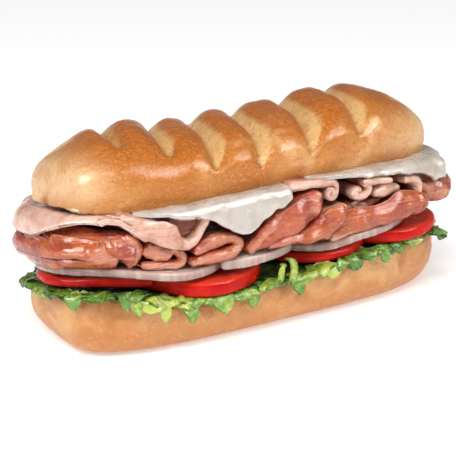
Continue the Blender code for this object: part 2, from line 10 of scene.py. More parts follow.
import bpy
import numpy as np
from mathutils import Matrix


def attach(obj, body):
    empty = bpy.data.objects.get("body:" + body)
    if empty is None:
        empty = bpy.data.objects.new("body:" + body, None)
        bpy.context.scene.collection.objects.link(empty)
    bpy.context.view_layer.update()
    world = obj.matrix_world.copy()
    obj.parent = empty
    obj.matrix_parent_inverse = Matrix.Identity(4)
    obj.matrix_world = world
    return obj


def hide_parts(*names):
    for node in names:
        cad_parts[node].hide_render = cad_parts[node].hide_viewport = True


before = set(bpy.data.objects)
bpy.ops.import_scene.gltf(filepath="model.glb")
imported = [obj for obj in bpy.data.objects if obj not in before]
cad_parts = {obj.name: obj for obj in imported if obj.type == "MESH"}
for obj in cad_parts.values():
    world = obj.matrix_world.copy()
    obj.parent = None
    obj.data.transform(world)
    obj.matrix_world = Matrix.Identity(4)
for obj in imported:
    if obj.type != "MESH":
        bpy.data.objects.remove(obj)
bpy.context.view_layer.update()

MM = 0.001
GAP = 0.35
SEEDS = {"ham": 100, "turkey": 300, "rolled": 400, "sheet": 500, "face": 620, "slice": 700, "bed": 61}

# Roll
ROLL_HALF_LENGTH = 100.0
TOP_LEFT_LENGTH = 98.5
TOP_RIGHT_LENGTH = 94.0
BOTTOM_HALF_WIDTH = 40.5
TOP_HALF_WIDTH = 39.5
PLAN_POWER = 4.0
LOW_CUT_HEIGHT = 22.3
LOW_CUT_RIGHT = 6.2
LOW_CUT_RIGHT_SPAN = (-20.0, 80.0)
LOW_CUT_LEFT = 3.4
LOW_CUT_LEFT_SPAN = (20.0, 100.0)
LOW_CUT_TILT = 0.16
LOW_CUT_TILT_SPAN = (45.0, 90.0)
HIGH_CUT_HEIGHT = 64.9
HIGH_CUT_ARCH = 3.1
HIGH_CUT_ARCH_CENTRE = 25.0
HIGH_CUT_ARCH_WIDTH = 70.0
HIGH_CUT_LEFT = 1.0
HIGH_CUT_LEFT_SPAN = (75.0, 100.0)
HIGH_CUT_SLOPE = 0.085
HIGH_CUT_TILT = 0.075
HIGH_CUT_TILT_SPAN = (60.0, 100.0)
CROWN_HEIGHT = 25.0
CROWN_LEFT = 9.4
CROWN_RIGHT = 7.6
SIDE_BULGE_HEIGHT = 7.0
SECTION_POWER = 2.5
CROWN_POWER_LEFT = 2.5
CROWN_POWER_RIGHT = 2.85
SCORE_LINES = (-68.5, -46.0, -24.5, -2.0, 25.0, 51.0)
SCORE_SHEAR = 0.26
SCORE_CURL = 0.25
SCORE_DEPTH = 5.4
SCORE_RISE = 12.5
SCORE_FALL = 11.0
FALL_POWER = 2.5
BUMP_HEIGHT = 1.9
SCORE_ENDS = (0.34, 0.25, 0.09, 0.03, 0.06, 0.12)
BAND_SHARES = (0.55, 0.85, 1.0, 1.0, 1.0, 0.9)

# Filling in its straight coordinates
FILL_HALF_LENGTH = 100.0
FILL_HALF_WIDTH = 42.0
FILL_LOW = 23.0
FILL_HIGH = 69.5
FILL_CORNER_POWER = 12
DRIFT_ALONG = 3.5
DRIFT_ALONG_PITCH = 5.5
DRIFT_ALONG_TURN = 1.2
DRIFT_UP = 0.6
DRIFT_UP_PITCH = 14.0
TINY = 1e-12


# Layout
def smooth_step(low, high, x):
    t = np.clip((np.asarray(x, float) - low) / (high - low), 0.0, 1.0)
    return t * t * (3.0 - 2.0 * t)


def through(points, count):
    """A smooth curve through a few points, at even steps of their numbering."""
    points = np.asarray(points, float)
    ends = np.vstack([2 * points[0] - points[1], points, 2 * points[-1] - points[-2]])
    at = np.linspace(0, len(points) - 1, count)
    k = np.minimum(at.astype(int), len(points) - 2)
    t = (at - k)[:, None]
    a, b, c, d = ends[k], ends[k + 1], ends[k + 2], ends[k + 3]
    return 0.5 * (2 * b + (c - a) * t + (2 * a - 5 * b + 4 * c - d) * t**2 + (3 * b - a - 3 * c + d) * t**3)


def super_ring(half_length, half_width, count):
    """Plan of the roll: count points round a superellipse, spread evenly along it."""
    angle = np.linspace(0, 2 * math.pi, 4001)
    x = half_length * np.sign(np.cos(angle)) * np.abs(np.cos(angle)) ** (2 / PLAN_POWER)
    y = half_width * np.sign(np.sin(angle)) * np.abs(np.sin(angle)) ** (2 / PLAN_POWER)
    run = np.concatenate([[0], np.cumsum(np.hypot(np.diff(x), np.diff(y)))])
    at = np.linspace(0, run[-1], count + 1)[:-1]
    return np.interp(at, run, x), np.interp(at, run, y)


def low_cut(u, w):
    """Height of the lower half's cut face."""
    right = LOW_CUT_RIGHT * smooth_step(*LOW_CUT_RIGHT_SPAN, u)
    left = LOW_CUT_LEFT * smooth_step(*LOW_CUT_LEFT_SPAN, -u)
    return LOW_CUT_HEIGHT + right + left + LOW_CUT_TILT * w * smooth_step(*LOW_CUT_TILT_SPAN, -u)


def high_cut(u, w):
    """Height of the upper half's cut face."""
    arch = HIGH_CUT_ARCH * np.exp(-(((u - HIGH_CUT_ARCH_CENTRE) / HIGH_CUT_ARCH_WIDTH) ** 2))
    arch = arch + HIGH_CUT_LEFT * smooth_step(*HIGH_CUT_LEFT_SPAN, -u)
    slope = HIGH_CUT_SLOPE + HIGH_CUT_TILT * smooth_step(*HIGH_CUT_TILT_SPAN, -u)
    return HIGH_CUT_HEIGHT + arch + slope * w


def press(u, w, z):
    """Height of a point of the filling once it lies between the cut faces."""
    share = (z - FILL_LOW) / (FILL_HIGH - FILL_LOW)
    depth = (FILL_HALF_WIDTH - w) / (2 * FILL_HALF_WIDTH)
    belly = np.clip(4 * share * (1 - share), 0.0, 1.0)
    drift = DRIFT_UP * belly * np.sin(math.pi * np.clip(depth, 0, 1)) * np.sin(u / DRIFT_UP_PITCH)
    low = low_cut(u, w) + GAP
    high = high_cut(u, w) - GAP
    return low + share * (high - low) + drift


def rounded(u, w):
    """A rectangle of the filling's size turned into the plan of the roll."""
    p = np.abs(u) / FILL_HALF_LENGTH
    q = np.abs(w) / FILL_HALF_WIDTH
    square = (p**FILL_CORNER_POWER + q**FILL_CORNER_POWER + TINY) ** (1 / FILL_CORNER_POWER)
    plan = (p**PLAN_POWER + q**PLAN_POWER + TINY) ** (1 / PLAN_POWER)
    return u * square / plan, w * square / plan


def settle(points):
    """Points of the straight filling moved to their places in the sandwich."""
    u, w, z = np.asarray(points, float).T
    depth = np.clip((FILL_HALF_WIDTH - w) / (2 * FILL_HALF_WIDTH), 0, 1)
    swing = np.sin(z / DRIFT_ALONG_PITCH) * np.cos(u / FILL_HALF_LENGTH * DRIFT_ALONG_TURN)
    u, w = rounded(u + DRIFT_ALONG * depth * swing, w)
    return np.column_stack([u, -w, press(u, w, z)])


def lie(points):
    """Points that already have their plan position, pressed to their height."""
    u, w, z = np.asarray(points, float).T
    return np.column_stack([u, -w, press(u, w, z)])


# Smooth random values
def lattice(x, y, z, seed):
    """One random value from -1 to 1 for each whole-number place."""
    mixed = (x * 374761393 + y * 668265263 + z * 1103515245 + seed * 144665) & 0xFFFFFFFF
    mixed = ((mixed ^ (mixed >> 13)) * 1274126177) & 0xFFFFFFFF
    return ((mixed ^ (mixed >> 16)) & 0xFFFF) / 32767.5 - 1.0


def noise(points, size, seed=0):
    """Smooth random values from -1 to 1, with lumps of about this size in millimetres."""
    place = np.asarray(points, float) / size + 17.3
    cell = np.floor(place).astype(np.int64)
    t = place - cell
    t = t * t * (3 - 2 * t)
    total = np.zeros(len(place))
    for corner in range(8):
        bit = np.array([corner & 1, corner >> 1 & 1, corner >> 2 & 1])
        weight = np.prod(np.where(bit == 1, t, 1 - t), axis=1)
        total += weight * lattice(*(cell + bit).T, seed)
    return total


def wander(line, size, seed):
    """Smooth random values along one line."""
    line = np.asarray(line, float).ravel()
    spread = np.column_stack([line, np.full(len(line), 0.5), np.full(len(line), seed * 7.7)])
    return noise(spread, size, seed) * 1.4


def layered(points, layers, seed):
    """Sum of smooth random values at points, from layers of (size, height) in millimetres."""
    return sum(height * noise(points, size, seed + k) for k, (size, height) in enumerate(layers))


def waves(line, layers, seed):
    """Sum of smooth random values along a line, from layers of (size, height) in millimetres."""
    return sum(height * wander(line, size, seed + k) for k, (size, height) in enumerate(layers))


# Meshes
def grid_quads(rows, cols, wrap, start=0):
    """Quads between neighbouring rows of a grid of points, closed round each row where wrap is true."""
    i, j = np.meshgrid(np.arange(rows - 1), np.arange(cols if wrap else cols - 1), indexing="ij")
    a = i * cols + j
    b = i * cols + (j + 1) % cols
    return np.stack([a, b, b + cols, a + cols], axis=-1).reshape(-1, 4) + start


def fan(ring, centre):
    """Triangles from a ring of points to its centre."""
    ring = np.asarray(ring)
    return np.column_stack([ring, np.roll(ring, -1), np.full(len(ring), centre)])


def capped(rings, size):
    """Quads between rings of points, and triangles that close both ends to the two points after them."""
    total = rings * size
    ends = [fan(range(size), total)[:, ::-1], fan(range(total - size, total), total + 1)]
    return grid_quads(rings, size, True), np.vstack(ends)


def looks_out(points, quads, triangles):
    """True if the faces look outwards."""
    halves = [quads[:, [0, 1, 2]], quads[:, [0, 2, 3]], triangles]
    faces = np.vstack([h for h in halves if len(h)])
    a, b, c = points[faces[:, 0]], points[faces[:, 1]], points[faces[:, 2]]
    return np.einsum("ij,ij->i", a, np.cross(b, c)).sum() > 0


def model(name, slot, points, quads, triangles=None, marks=None, nodes=None):
    """A piece from points in millimetres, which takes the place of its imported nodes."""
    points = np.asarray(points, float)
    quads = np.asarray(quads)
    triangles = np.zeros((0, 3), int) if triangles is None else np.asarray(triangles)
    if not looks_out(points, quads, triangles):
        quads, triangles = quads[:, ::-1], triangles[:, ::-1]
    mesh = bpy.data.meshes.new(name)
    mesh.from_pydata((points * MM).tolist(), [], quads.tolist() + triangles.tolist())
    for mark, values in (marks or {}).items():
        mesh.attributes.new(mark, "FLOAT", "POINT").data.foreach_set("value", np.asarray(values, np.float32))
    mesh.polygons.foreach_set("use_smooth", [True] * len(mesh.polygons))
    mesh.update()
    made = bpy.data.objects.new(name, mesh)
    bpy.context.scene.collection.objects.link(made)
    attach(made, "root")
    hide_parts(*(nodes or [name.removesuffix("_look")]))
    return made


def swell(made, amount):
    """Move each point of a piece along its normal, by millimetres."""
    mesh = made.data
    flat = np.zeros(len(mesh.vertices) * 3)
    normals = np.zeros(len(mesh.vertices) * 3)
    mesh.vertices.foreach_get("co", flat)
    mesh.vertices.foreach_get("normal", normals)
    moved = flat + normals * np.repeat(amount * MM, 3)
    mesh.vertices.foreach_set("co", moved)
    mesh.update()


def places(made):
    """Where the points of a piece are, in millimetres."""
    flat = np.zeros(len(made.data.vertices) * 3)
    made.data.vertices.foreach_get("co", flat)
    return flat.reshape(-1, 3) / MM


def lumps(made, layers, seed):
    """Uneven surface from layers of (size, height) in millimetres."""
    swell(made, layered(places(made), layers, seed))


# Lower half of the roll
BASE_STEPS = ((12.5, 0.0), (6.2, 2.2), (2.0, 6.8), (0.2, 12.5), (0.0, 18.0))
BASE_RINGS = 34
SIDE_SHARES = (0.25, 0.5, 0.75)
RIM_STEPS = ((0.5, -2.0), (0.9, -1.1), (1.6, -0.45), (2.4, -0.1), (3.2, 0.0))
RING_POINTS = 460
CUT_SHARES = (0.93, 0.9, 0.85, 0.78, 0.7, 0.6, 0.5, 0.4, 0.3, 0.2, 0.1, 0.04)
CUT_DISH = 0.5
BASE_LIFT = 0.8
CRUMB_SPAN = (-1.6, -0.3)
LOWER_FREE = (0.5, 4.0)
LOWER_LUMPS = ((17, 0.45), (6.5, 0.2), (2.4, 0.07))
LOWER_SHRINK = 0.25
LOWER_CRUMB_LUMPS = ((2.2, 0.5), (0.9, 0.3))


def make_bottom():
    rings, low, crumb = [], [], []

    def add(x, y, height, low_mark, crumb_mark):
        rings.append(np.column_stack([x, y, height]))
        low.append(np.full(RING_POINTS, float(low_mark)))
        crumb.append(np.full(RING_POINTS, float(crumb_mark)))

    for inset, height in through(BASE_STEPS, BASE_RINGS):
        x, y = super_ring(ROLL_HALF_LENGTH - inset, BOTTOM_HALF_WIDTH - inset, RING_POINTS)
        lift = height / BASE_STEPS[-1][1] * (low_cut(x, -y) - LOW_CUT_HEIGHT) * BASE_LIFT
        add(x, y, max(height, 0) + lift, height, 0)
    for share in SIDE_SHARES:
        inset = RIM_STEPS[0][0] * share**2
        x, y = super_ring(ROLL_HALF_LENGTH - inset, BOTTOM_HALF_WIDTH - inset, RING_POINTS)
        height = (1 - share) * rings[BASE_RINGS - 1][:, 2] + share * (low_cut(x, -y) + RIM_STEPS[0][1])
        add(x, y, height, LOW_CUT_HEIGHT + RIM_STEPS[0][1], 0)
    for inset, under in RIM_STEPS:
        x, y = super_ring(ROLL_HALF_LENGTH - inset, BOTTOM_HALF_WIDTH - inset, RING_POINTS)
        add(x, y, low_cut(x, -y) + under, LOW_CUT_HEIGHT + under, smooth_step(*CRUMB_SPAN, under))
    for share in CUT_SHARES:
        x, y = super_ring(ROLL_HALF_LENGTH * share, BOTTOM_HALF_WIDTH * share, RING_POINTS)
        add(x, y, low_cut(x, -y) - CUT_DISH, LOW_CUT_HEIGHT, 1)
    points = np.vstack(rings + [[[0, 0, 0], [0, 0, LOW_CUT_HEIGHT - CUT_DISH]]])
    marks = {
        "low": np.concatenate(low + [[0, LOW_CUT_HEIGHT]]),
        "crumb": np.concatenate(crumb + [[0, 1]]),
    }
    made = model("bun_bottom_look", "crust", points, *capped(len(rings), RING_POINTS), marks)
    at = places(made)
    free = smooth_step(*LOWER_FREE, at[:, 2])
    rough = marks["crumb"] * layered(at, LOWER_CRUMB_LUMPS, 4)
    swell(made, (layered(at, LOWER_LUMPS, 1) - LOWER_SHRINK) * free + rough)
    return made


# Upper half of the roll
TOP_ROWS = 430
ROW_SPREAD = 1.5
LAST_ROW = 0.9999
DOME_POINTS = 110
TUCK_STEPS = 9
TUCK_WIDTH = 0.935
TUCK_POWER = 0.7
UNDER_POINTS = 14
UNDER_WIDTH = 0.93
CROWN_LEFT_SPAN = (30.0, 74.0)
CROWN_RIGHT_SPAN = (5.0, 70.0)
LIP_WIDTH = 0.5
BAND_WIDTH = 8.6
RIM_SAG = 1.9
RIM_REACH = 0.28
ENDS_FADE = (0.955, 0.995)
CRUMB_FADE = (0.955, 0.985)
SCORE_FADE = (0.06, 0.07)
FAR_END = 0.88
FAR_FADE = 0.14
BAND_FADE = (0.04, 0.05)
BAND_FAR_END = 0.9
BAND_FAR_FADE = 0.10
BAND_GROWS = 0.16
BAND_SHRINKS = 0.4
BAND_PALE_SPAN = (0.5, 1.25)
CREASE_FADE = (0.02, 0.22)
BAND_RAGGED = ((2.0, 0.25),)
BAND_SWELL = (0.28, 0.46)
BAND_BARE = 0.35
BAND_LUMPS = ((1.6, 0.10), (0.9, 0.06))
BAND_STRETCH = (1.0, 0.35, 0.35)
SIDE_LENGTH = 60
SCORE_WARP = ((10.0, 0.9),)
RELIEF_PUSH = 0.4
RELIEF_WIDEN = 0.5
CREASE_WIDTH = 0.7
CREASE_PLACE = 0.2
CREASE_BARE = 0.3
CRUMB_HEIGHT = 0.08
# painted sheen: the pale mark lightens the lower flanks at both ends of the upper half, less near its rim
SHEEN_RIGHT_SHARE = 0.8
SHEEN_RIM = (0.6, 0.8)
SHEEN_LEFT = (66.0, 96.0)
SHEEN_RIGHT = (40.0, 85.0)
SHEEN_FADE = (0.25, 0.75)
UPPER_LUMPS = ((15, 0.5), (6, 0.22), (2.2, 0.07))
UPPER_SHRINK = 0.2
UPPER_CRUMB_LUMPS = ((2.2, 0.4), (0.9, 0.25))
CREASE_DEPTH = 0.35


def score_relief(x, side):
    """Height over the plain dome: each bump starts gently after a score and ends steeply at the next."""
    relief = np.zeros(np.broadcast(x, side).shape)
    bounds = (-TOP_LEFT_LENGTH,) + SCORE_LINES + (TOP_RIGHT_LENGTH,)
    far_side = smooth_step(0.0, FAR_FADE, FAR_END - side)
    fades = [smooth_step(end - SCORE_FADE[0], end + SCORE_FADE[1], side) * far_side for end in SCORE_ENDS]
    fades = [0 * fades[0]] + fades + [0 * fades[-1]]
    for k, (left, right) in enumerate(zip(bounds[:-1], bounds[1:])):
        share = np.clip((x - left) / (right - left), 0, 1)
        rise = np.sin(np.clip((x - left) / SCORE_RISE, 0, 1) * math.pi / 2) if k else 1.0
        fall = 1.0
        if k < len(SCORE_LINES):
            fall = np.sqrt(1 - np.clip(1 - (right - x) / SCORE_FALL, 0, 1) ** FALL_POWER)
        bump = rise * fall
        trough = SCORE_DEPTH * (fades[k] * (1 - share) + fades[k + 1] * share)
        crest = BUMP_HEIGHT * np.maximum(fades[k], fades[k + 1])
        relief = np.where((x >= left) & (x < right), crest * bump - trough * (1 - bump), relief)
    return relief


def torn_bands(warped, sides):
    """Marks of the torn bands behind the scores and of the creases in front of them, which get painted
    shade.
    """
    band = np.zeros_like(warped)
    crease = np.zeros_like(warped)
    far_side = smooth_step(0.0, BAND_FAR_FADE, BAND_FAR_END - sides)
    for k, (line, end, strength) in enumerate(zip(SCORE_LINES, SCORE_ENDS, BAND_SHARES)):
        d = warped - line
        ragged = d - waves(sides * SIDE_LENGTH, BAND_RAGGED, k + 20)[None, :]
        tear = smooth_step(end - BAND_FADE[0], end + BAND_FADE[1], sides) * far_side
        shrink = 1 - BAND_SHRINKS * smooth_step(*BAND_SWELL, sides)
        swollen = smooth_step(end, end + BAND_GROWS, sides) * shrink
        width = BAND_WIDTH * (BAND_BARE + (1 - BAND_BARE) * swollen)
        past = smooth_step(-LIP_WIDTH, LIP_WIDTH, ragged)
        ahead = 1 - smooth_step(width * BAND_PALE_SPAN[0], width * BAND_PALE_SPAN[1], d)
        band = np.maximum(band, strength * tear * past * ahead)
        deep = 1 - (1 - CREASE_BARE) * smooth_step(end + CREASE_FADE[0], end + CREASE_FADE[1], sides)
        line_share = np.exp(-(((ragged - CREASE_PLACE) / CREASE_WIDTH) ** 2))
        crease = np.maximum(crease, tear * deep * line_share)
    return band, crease


def make_top():
    spread = np.linspace(-1, 1, TOP_ROWS)
    spread = np.sign(spread) * (1 - (1 - np.abs(spread)) ** ROW_SPREAD) * LAST_ROW
    station = np.where(spread < 0, spread * TOP_LEFT_LENGTH, spread * TOP_RIGHT_LENGTH)[:, None]
    reach = np.abs(spread)[:, None]
    half_width = TOP_HALF_WIDTH * (1 - reach**PLAN_POWER) ** (1 / PLAN_POWER)
    crown = CROWN_HEIGHT + CROWN_LEFT * smooth_step(*CROWN_LEFT_SPAN, -station)
    crown = crown + CROWN_RIGHT * smooth_step(*CROWN_RIGHT_SPAN, station)
    upper = crown - SIDE_BULGE_HEIGHT
    power = np.where(station < 0, CROWN_POWER_LEFT, CROWN_POWER_RIGHT)
    height = SIDE_BULGE_HEIGHT + upper * (1 - reach**power) ** (1 / power)

    side = np.linspace(0, 1, DOME_POINTS)
    angle = side * math.pi
    across = np.sign(np.cos(angle)) * np.abs(np.cos(angle)) ** (2 / SECTION_POWER)
    over = np.abs(np.sin(angle)) ** (2 / SECTION_POWER)
    tuck = np.linspace(0, 1, TUCK_STEPS + 1)[:-1]
    tuck_w = TUCK_WIDTH + (1 - TUCK_WIDTH) * np.sin(tuck * math.pi / 2) ** TUCK_POWER
    under_w = np.linspace(-UNDER_WIDTH, UNDER_WIDTH, UNDER_POINTS)
    w_share = np.concatenate([tuck_w, across, -tuck_w[::-1], under_w])
    no_tuck = np.zeros(TUCK_STEPS)
    no_under = np.zeros(UNDER_POINTS)
    bulge = np.concatenate([tuck, np.ones(DOME_POINTS), tuck[::-1], no_under])
    dome = np.concatenate([no_tuck, over, no_tuck, no_under])
    sides = np.concatenate([no_tuck, side, no_tuck + 1, no_under + 0.5])
    open_face = np.concatenate([np.ones(2 * TUCK_STEPS + DOME_POINTS), no_under])

    w = half_width * w_share
    rise = SIDE_BULGE_HEIGHT * bulge + (height - SIDE_BULGE_HEIGHT) * dome
    lean = SCORE_SHEAR * w - SCORE_CURL * np.minimum(w, 0.0) ** 2 / TOP_HALF_WIDTH
    x = station - lean * (1 - reach**5)

    spots = np.stack(np.broadcast_arrays(station, SIDE_LENGTH * sides[None, :], 0 * x), axis=-1)
    spots = spots.reshape(-1, 3)
    warped = station - layered(spots, SCORE_WARP, 8).reshape(x.shape)
    band, crease = torn_bands(warped, sides)
    push = (rise - SIDE_BULGE_HEIGHT).clip(0) / upper
    relief = score_relief(warped, sides[None, :]) * (1 - reach**8)
    rim = np.exp(-((bulge / RIM_REACH) ** 2)) * open_face * (dome == 0)
    rim = rim * (1 - smooth_step(*ENDS_FADE, reach))
    z = high_cut(x, w) + rise + relief * push**RELIEF_PUSH - RIM_SAG * rim
    w = w * (1 + relief * RELIEF_WIDEN / TOP_HALF_WIDTH * (1 - push) * (rise > 0.5))

    cols = len(w_share)
    points = np.stack([x, -w, z], axis=-1).reshape(-1, 3)
    points = np.vstack([points, points[:cols].mean(axis=0), points[-cols:].mean(axis=0)])
    crumb = (1 - open_face + open_face * (bulge < CRUMB_HEIGHT)) * (1 - smooth_step(*CRUMB_FADE, reach))
    # pale mark: painted sheen on the lower flanks at both ends
    pale = smooth_step(*SHEEN_LEFT, -station) + SHEEN_RIGHT_SHARE * smooth_step(*SHEEN_RIGHT, station)
    pale = pale * (1 - smooth_step(*SHEEN_FADE, push))
    pale = pale * (1 - SHEEN_RIM[1] * np.exp(-((bulge / SHEEN_RIM[0]) ** 2)) * (dome == 0))
    values = {"high": push, "band": band, "crease": crease, "crumb": crumb, "rim": rim, "pale": pale}
    marks = {name: np.append(np.broadcast_to(given, x.shape), [0.0, 0.0]) for name, given in values.items()}
    made = model("bun_top_look", "crust", points, *capped(TOP_ROWS, cols), marks)
    at = places(made)
    torn = marks["band"] * (layered(at * BAND_STRETCH, BAND_LUMPS[:1], 14) + layered(at, BAND_LUMPS[1:], 15))
    rough = marks["crumb"] * layered(at, UPPER_CRUMB_LUMPS, 16)
    uneven = layered(at, UPPER_LUMPS, 11) - UPPER_SHRINK
    swell(made, uneven + torn + rough - CREASE_DEPTH * marks["crease"])
    return made


# Slices of ham and turkey, seen from their folded edges
NOSE_POINTS = 11
NOSE_SHARE = 0.7
SIDE_POINTS = 15
SIDE_SPREAD = 1.7
END_RINGS = 5
END_REACH = 0.9
END_THIN = 0.12
LEAST_THICK = 0.8
THICK_WANDER = ((5.0, 0.10),)
EDGE_WAVES = ((7.0, 1.2), (2.6, 0.35))
BODY_WANDER = ((11.0, 0.06),)
# painted shade from the depth mark fades out over this span of u, at the bare ends of the filling
EXPOSED_SPAN = (80.0, 88.0)
ROLL_PITCH = 1.55
ROLL_STEPS = 14
PLUMP = {"ham": 1.24, "turkey": 1.3}
FULLER = {"ham": 0.45, "turkey": 0.25}
MEAT_LUMPS = ((6.5, 0.42), (3.0, 0.24), (1.3, 0.05))
CRUMPLED = ("ham_1", "ham_11")
CRUMPLE_LUMPS = ((5.5, 1.0), (2.8, 0.45))
CRUMPLE_STRETCH = (1.0, 0.4, 1.0)
CRUMPLE_DEPTH = 0.9
CRUMPLE_DENTS = (0.25, 0.5)
CRUMPLE_SIZE = 6.0
# depth mark at the centres of the end caps, for painted shade
END_SHADE_DEPTH = 2.0
MEAT_STEPS = 14


def slice_piece(name, slot, path, front, back, count, seed):
    """A slice whose path of (u, z, thickness) shows at the front and runs right through the filling."""
    line = through(path, count)
    along = np.gradient(line[:, :2], axis=0)
    along /= np.linalg.norm(along, axis=1)[:, None]
    normal = np.column_stack([-along[:, 1], along[:, 0]])
    run = np.concatenate([[0], np.cumsum(np.linalg.norm(np.diff(line[:, :2], axis=0), axis=1))])
    half = np.maximum(line[:, 2], LEAST_THICK) / 2 * PLUMP[slot]
    half = half * (1 + waves(run, THICK_WANDER, seed))

    def row(k, out=0.0):
        """Centre, direction across, half thickness and place of one ring. out rounds off an end."""
        centre = line[k, :2] + along[k] * half[k] * END_REACH * math.sin(out)
        return centre, normal[k], half[k] * max(math.cos(out), END_THIN), run[k]

    turns = np.linspace(0, math.pi / 2, END_RINGS + 1)[1:]
    rows = [row(0, -turn) for turn in turns[::-1]]
    rows += [row(k) for k in range(count)]
    rows += [row(-1, turn) for turn in turns]
    angle = np.linspace(-math.pi / 2, math.pi / 2, NOSE_POINTS)
    inner = np.linspace(0, 1, SIDE_POINTS + 2)[1:-1] ** SIDE_SPREAD
    flat = np.zeros(SIDE_POINTS)
    edge = np.concatenate([np.cos(angle), flat, np.cos(angle), flat])
    rings, depths = [], []
    for centre, across, thick, at_run in rows:
        wave = waves([at_run], EDGE_WAVES, seed + 1)[0]
        lead, trail = front + wave, back + wave
        nose = thick * NOSE_SHARE
        side_w = lead - nose - inner * np.maximum(lead + trail - 2 * nose, 1.0)
        bend = nose * np.cos(angle)
        reach = np.concatenate([lead - nose + bend, side_w, -trail + nose - bend, side_w[::-1]])
        lift = thick * np.sin(angle)
        off = np.concatenate([lift, flat + thick, lift[::-1], flat - thick])
        off = off + (lead - reach) * waves([at_run], BODY_WANDER, seed + 3)[0]
        rings.append(np.column_stack([centre[0] + across[0] * off, reach, centre[1] + across[1] * off]))
        # depth mark: how far inside the filling a point lies, which the material turns into painted shade
        bare = 1 - smooth_step(*EXPOSED_SPAN, abs(centre[0]))
        depths.append(np.minimum(lead - reach, reach + trail) * bare)
    points = settle(np.vstack(rings + [rings[0].mean(axis=0)[None], rings[-1].mean(axis=0)[None]]))
    marks = {
        "edge": np.append(np.tile(edge, len(rings)), [0, 0]),
        "depth": np.append(np.concatenate(depths), [END_SHADE_DEPTH, END_SHADE_DEPTH]),
    }
    made = model(name + "_look", slot, points, *capped(len(rings), len(edge)), marks)
    lumps(made, MEAT_LUMPS, seed)
    if name in CRUMPLED:
        at = places(made) * CRUMPLE_STRETCH
        dents = CRUMPLE_DEPTH * smooth_step(*CRUMPLE_DENTS, noise(at, CRUMPLE_SIZE, seed + 6))
        swell(made, layered(at, CRUMPLE_LUMPS, seed + 4) - dents)
    swell(made, np.full(len(made.data.vertices), FULLER[slot]))
    return made


def rolled(centre, radius, thick, turns, start, tail, squash=1.0):
    """Path of a slice rolled up on itself: from the inside of the roll out, then along a straight tail."""
    steps = max(int(turns * ROLL_STEPS), 6)
    path = []
    for k in range(steps + 1):
        share = k / steps
        angle = math.radians(start) + 2 * math.pi * turns * (share - 1)
        reach = radius - (1 - share) * turns * thick * ROLL_PITCH
        u = centre[0] + reach * math.cos(angle) * squash
        path.append((u, centre[1] + reach * math.sin(angle), thick))
    return path + list(tail)


HAM = (
    # name, path of (u, z, thickness), front reach, back reach
    ("ham_1", ((-101, 47.8, 10.5), (-97, 48.7, 14.0), (-93, 48.7, 14.4), (-89.5, 48.2, 10.0)), 43.2, 40.5),
    ("ham_2", ((-86, 55.8, 2.8), (-81.6, 53.4, 4.8), (-79.9, 48.8, 5.4), (-82.4, 43.8, 3.2)), 44.0, 41.0),
    ("ham_3", ((-72.8, 48.4, 5.6), (-69.4, 48.8, 9.4), (-65.0, 48.0, 6.8)), 42.6, 40.0),
    (
        "ham_4",
        (
            (-61, 48.6, 2.4), (-57.2, 48.6, 2.8), (-53.8, 45.0, 2.8),
            (-57.4, 41.7, 2.6), (-66, 41.5, 2.5), (-76, 41.5, 2.2),
        ),
        43.0, 41.0,
    ),
    (
        "ham_5",
        (
            (-49.2, 42.7, 2.8), (-42, 43.0, 3.4), (-31, 43.8, 3.8), (-25.4, 47.4, 3.2),
            (-31, 50.8, 3.8), (-39, 50.0, 4.2), (-46.5, 47.6, 3.0),
        ),
        43.5, 41.0,
    ),
    ("ham_6", ((-19.5, 44.2, 3.4), (-10, 51.4, 5.4), (3, 58.4, 5.4), (13.2, 61.4, 3.8)), 45.0, 42.0),
    ("ham_7", ((-3, 49.0, 2.4), (5, 49.8, 4.6), (11, 52.0, 6.4), (15.0, 56.8, 3.0)), 43.0, 40.0),
    (
        "ham_8",
        ((-11, 44.0, 2.0), (0, 44.7, 2.6), (11, 44.9, 4.0), (20, 48.4, 8.8), (27.5, 53.0, 3.4)),
        46.0, 42.0,
    ),
    ("ham_9", ((32, 48.2, 3.4), (40, 49.9, 4.0), (46, 48.9, 3.4), (54, 51.0, 2.6)), 38.5, 38.0),
    (
        "ham_10",
        (
            (24, 39.8, 2.8), (38, 42.0, 4.6), (52, 44.2, 6.2),
            (66, 46.4, 9.2), (78, 46.4, 9.6), (85, 45.0, 6.0),
        ),
        44.5, 42.0,
    ),
    ("ham_11", ((85.5, 54.6, 4.5), (91, 52.0, 7.6), (97, 49.4, 9.8), (101.8, 48.0, 8.2)), 43.0, 41.0),
)

TURKEY = (
    (
        "turkey_2",
        (
            (-89, 67.4, 2.4), (-81, 65.2, 3.4), (-72, 62.2, 4.8), (-64, 57.8, 6.2), (-58, 53.6, 4.8),
            (-52, 51.7, 3.2), (-46.6, 54.2, 3.0), (-43.8, 58.8, 3.0), (-42.6, 62.2, 2.4),
        ),
        44.6, 42.0,
    ),
    ("turkey_5", ((67, 60.2, 2.4), (74.5, 59.4, 2.8), (79, 56.4, 3.0), (79, 53.6, 2.4)), 45.0, 42.0),
    ("turkey_6", ((49.5, 55.8, 3.2), (56, 56.4, 6.0), (63, 56.0, 3.6)), 43.5, 41.0),
)

ROLLS = (
    # name, centre, outer reach, thickness, turns, angle where the tail leaves, tail, squash
    ("turkey_3", (22.3, 61.4), 4.3, 2.1, 1.2, 95.0, ((12, 67.4, 3.2), (2, 67.5, 3.4)), 1.0),
    ("turkey_4", (38.5, 58.8), 4.4, 2.6, 0.9, 70.0, ((46.5, 62.6, 2.6), (55, 62.0, 2.4)), 1.35),
)
ROLLED_REACH = (44.5, 41.5)
ROLLED_STEPS = 5


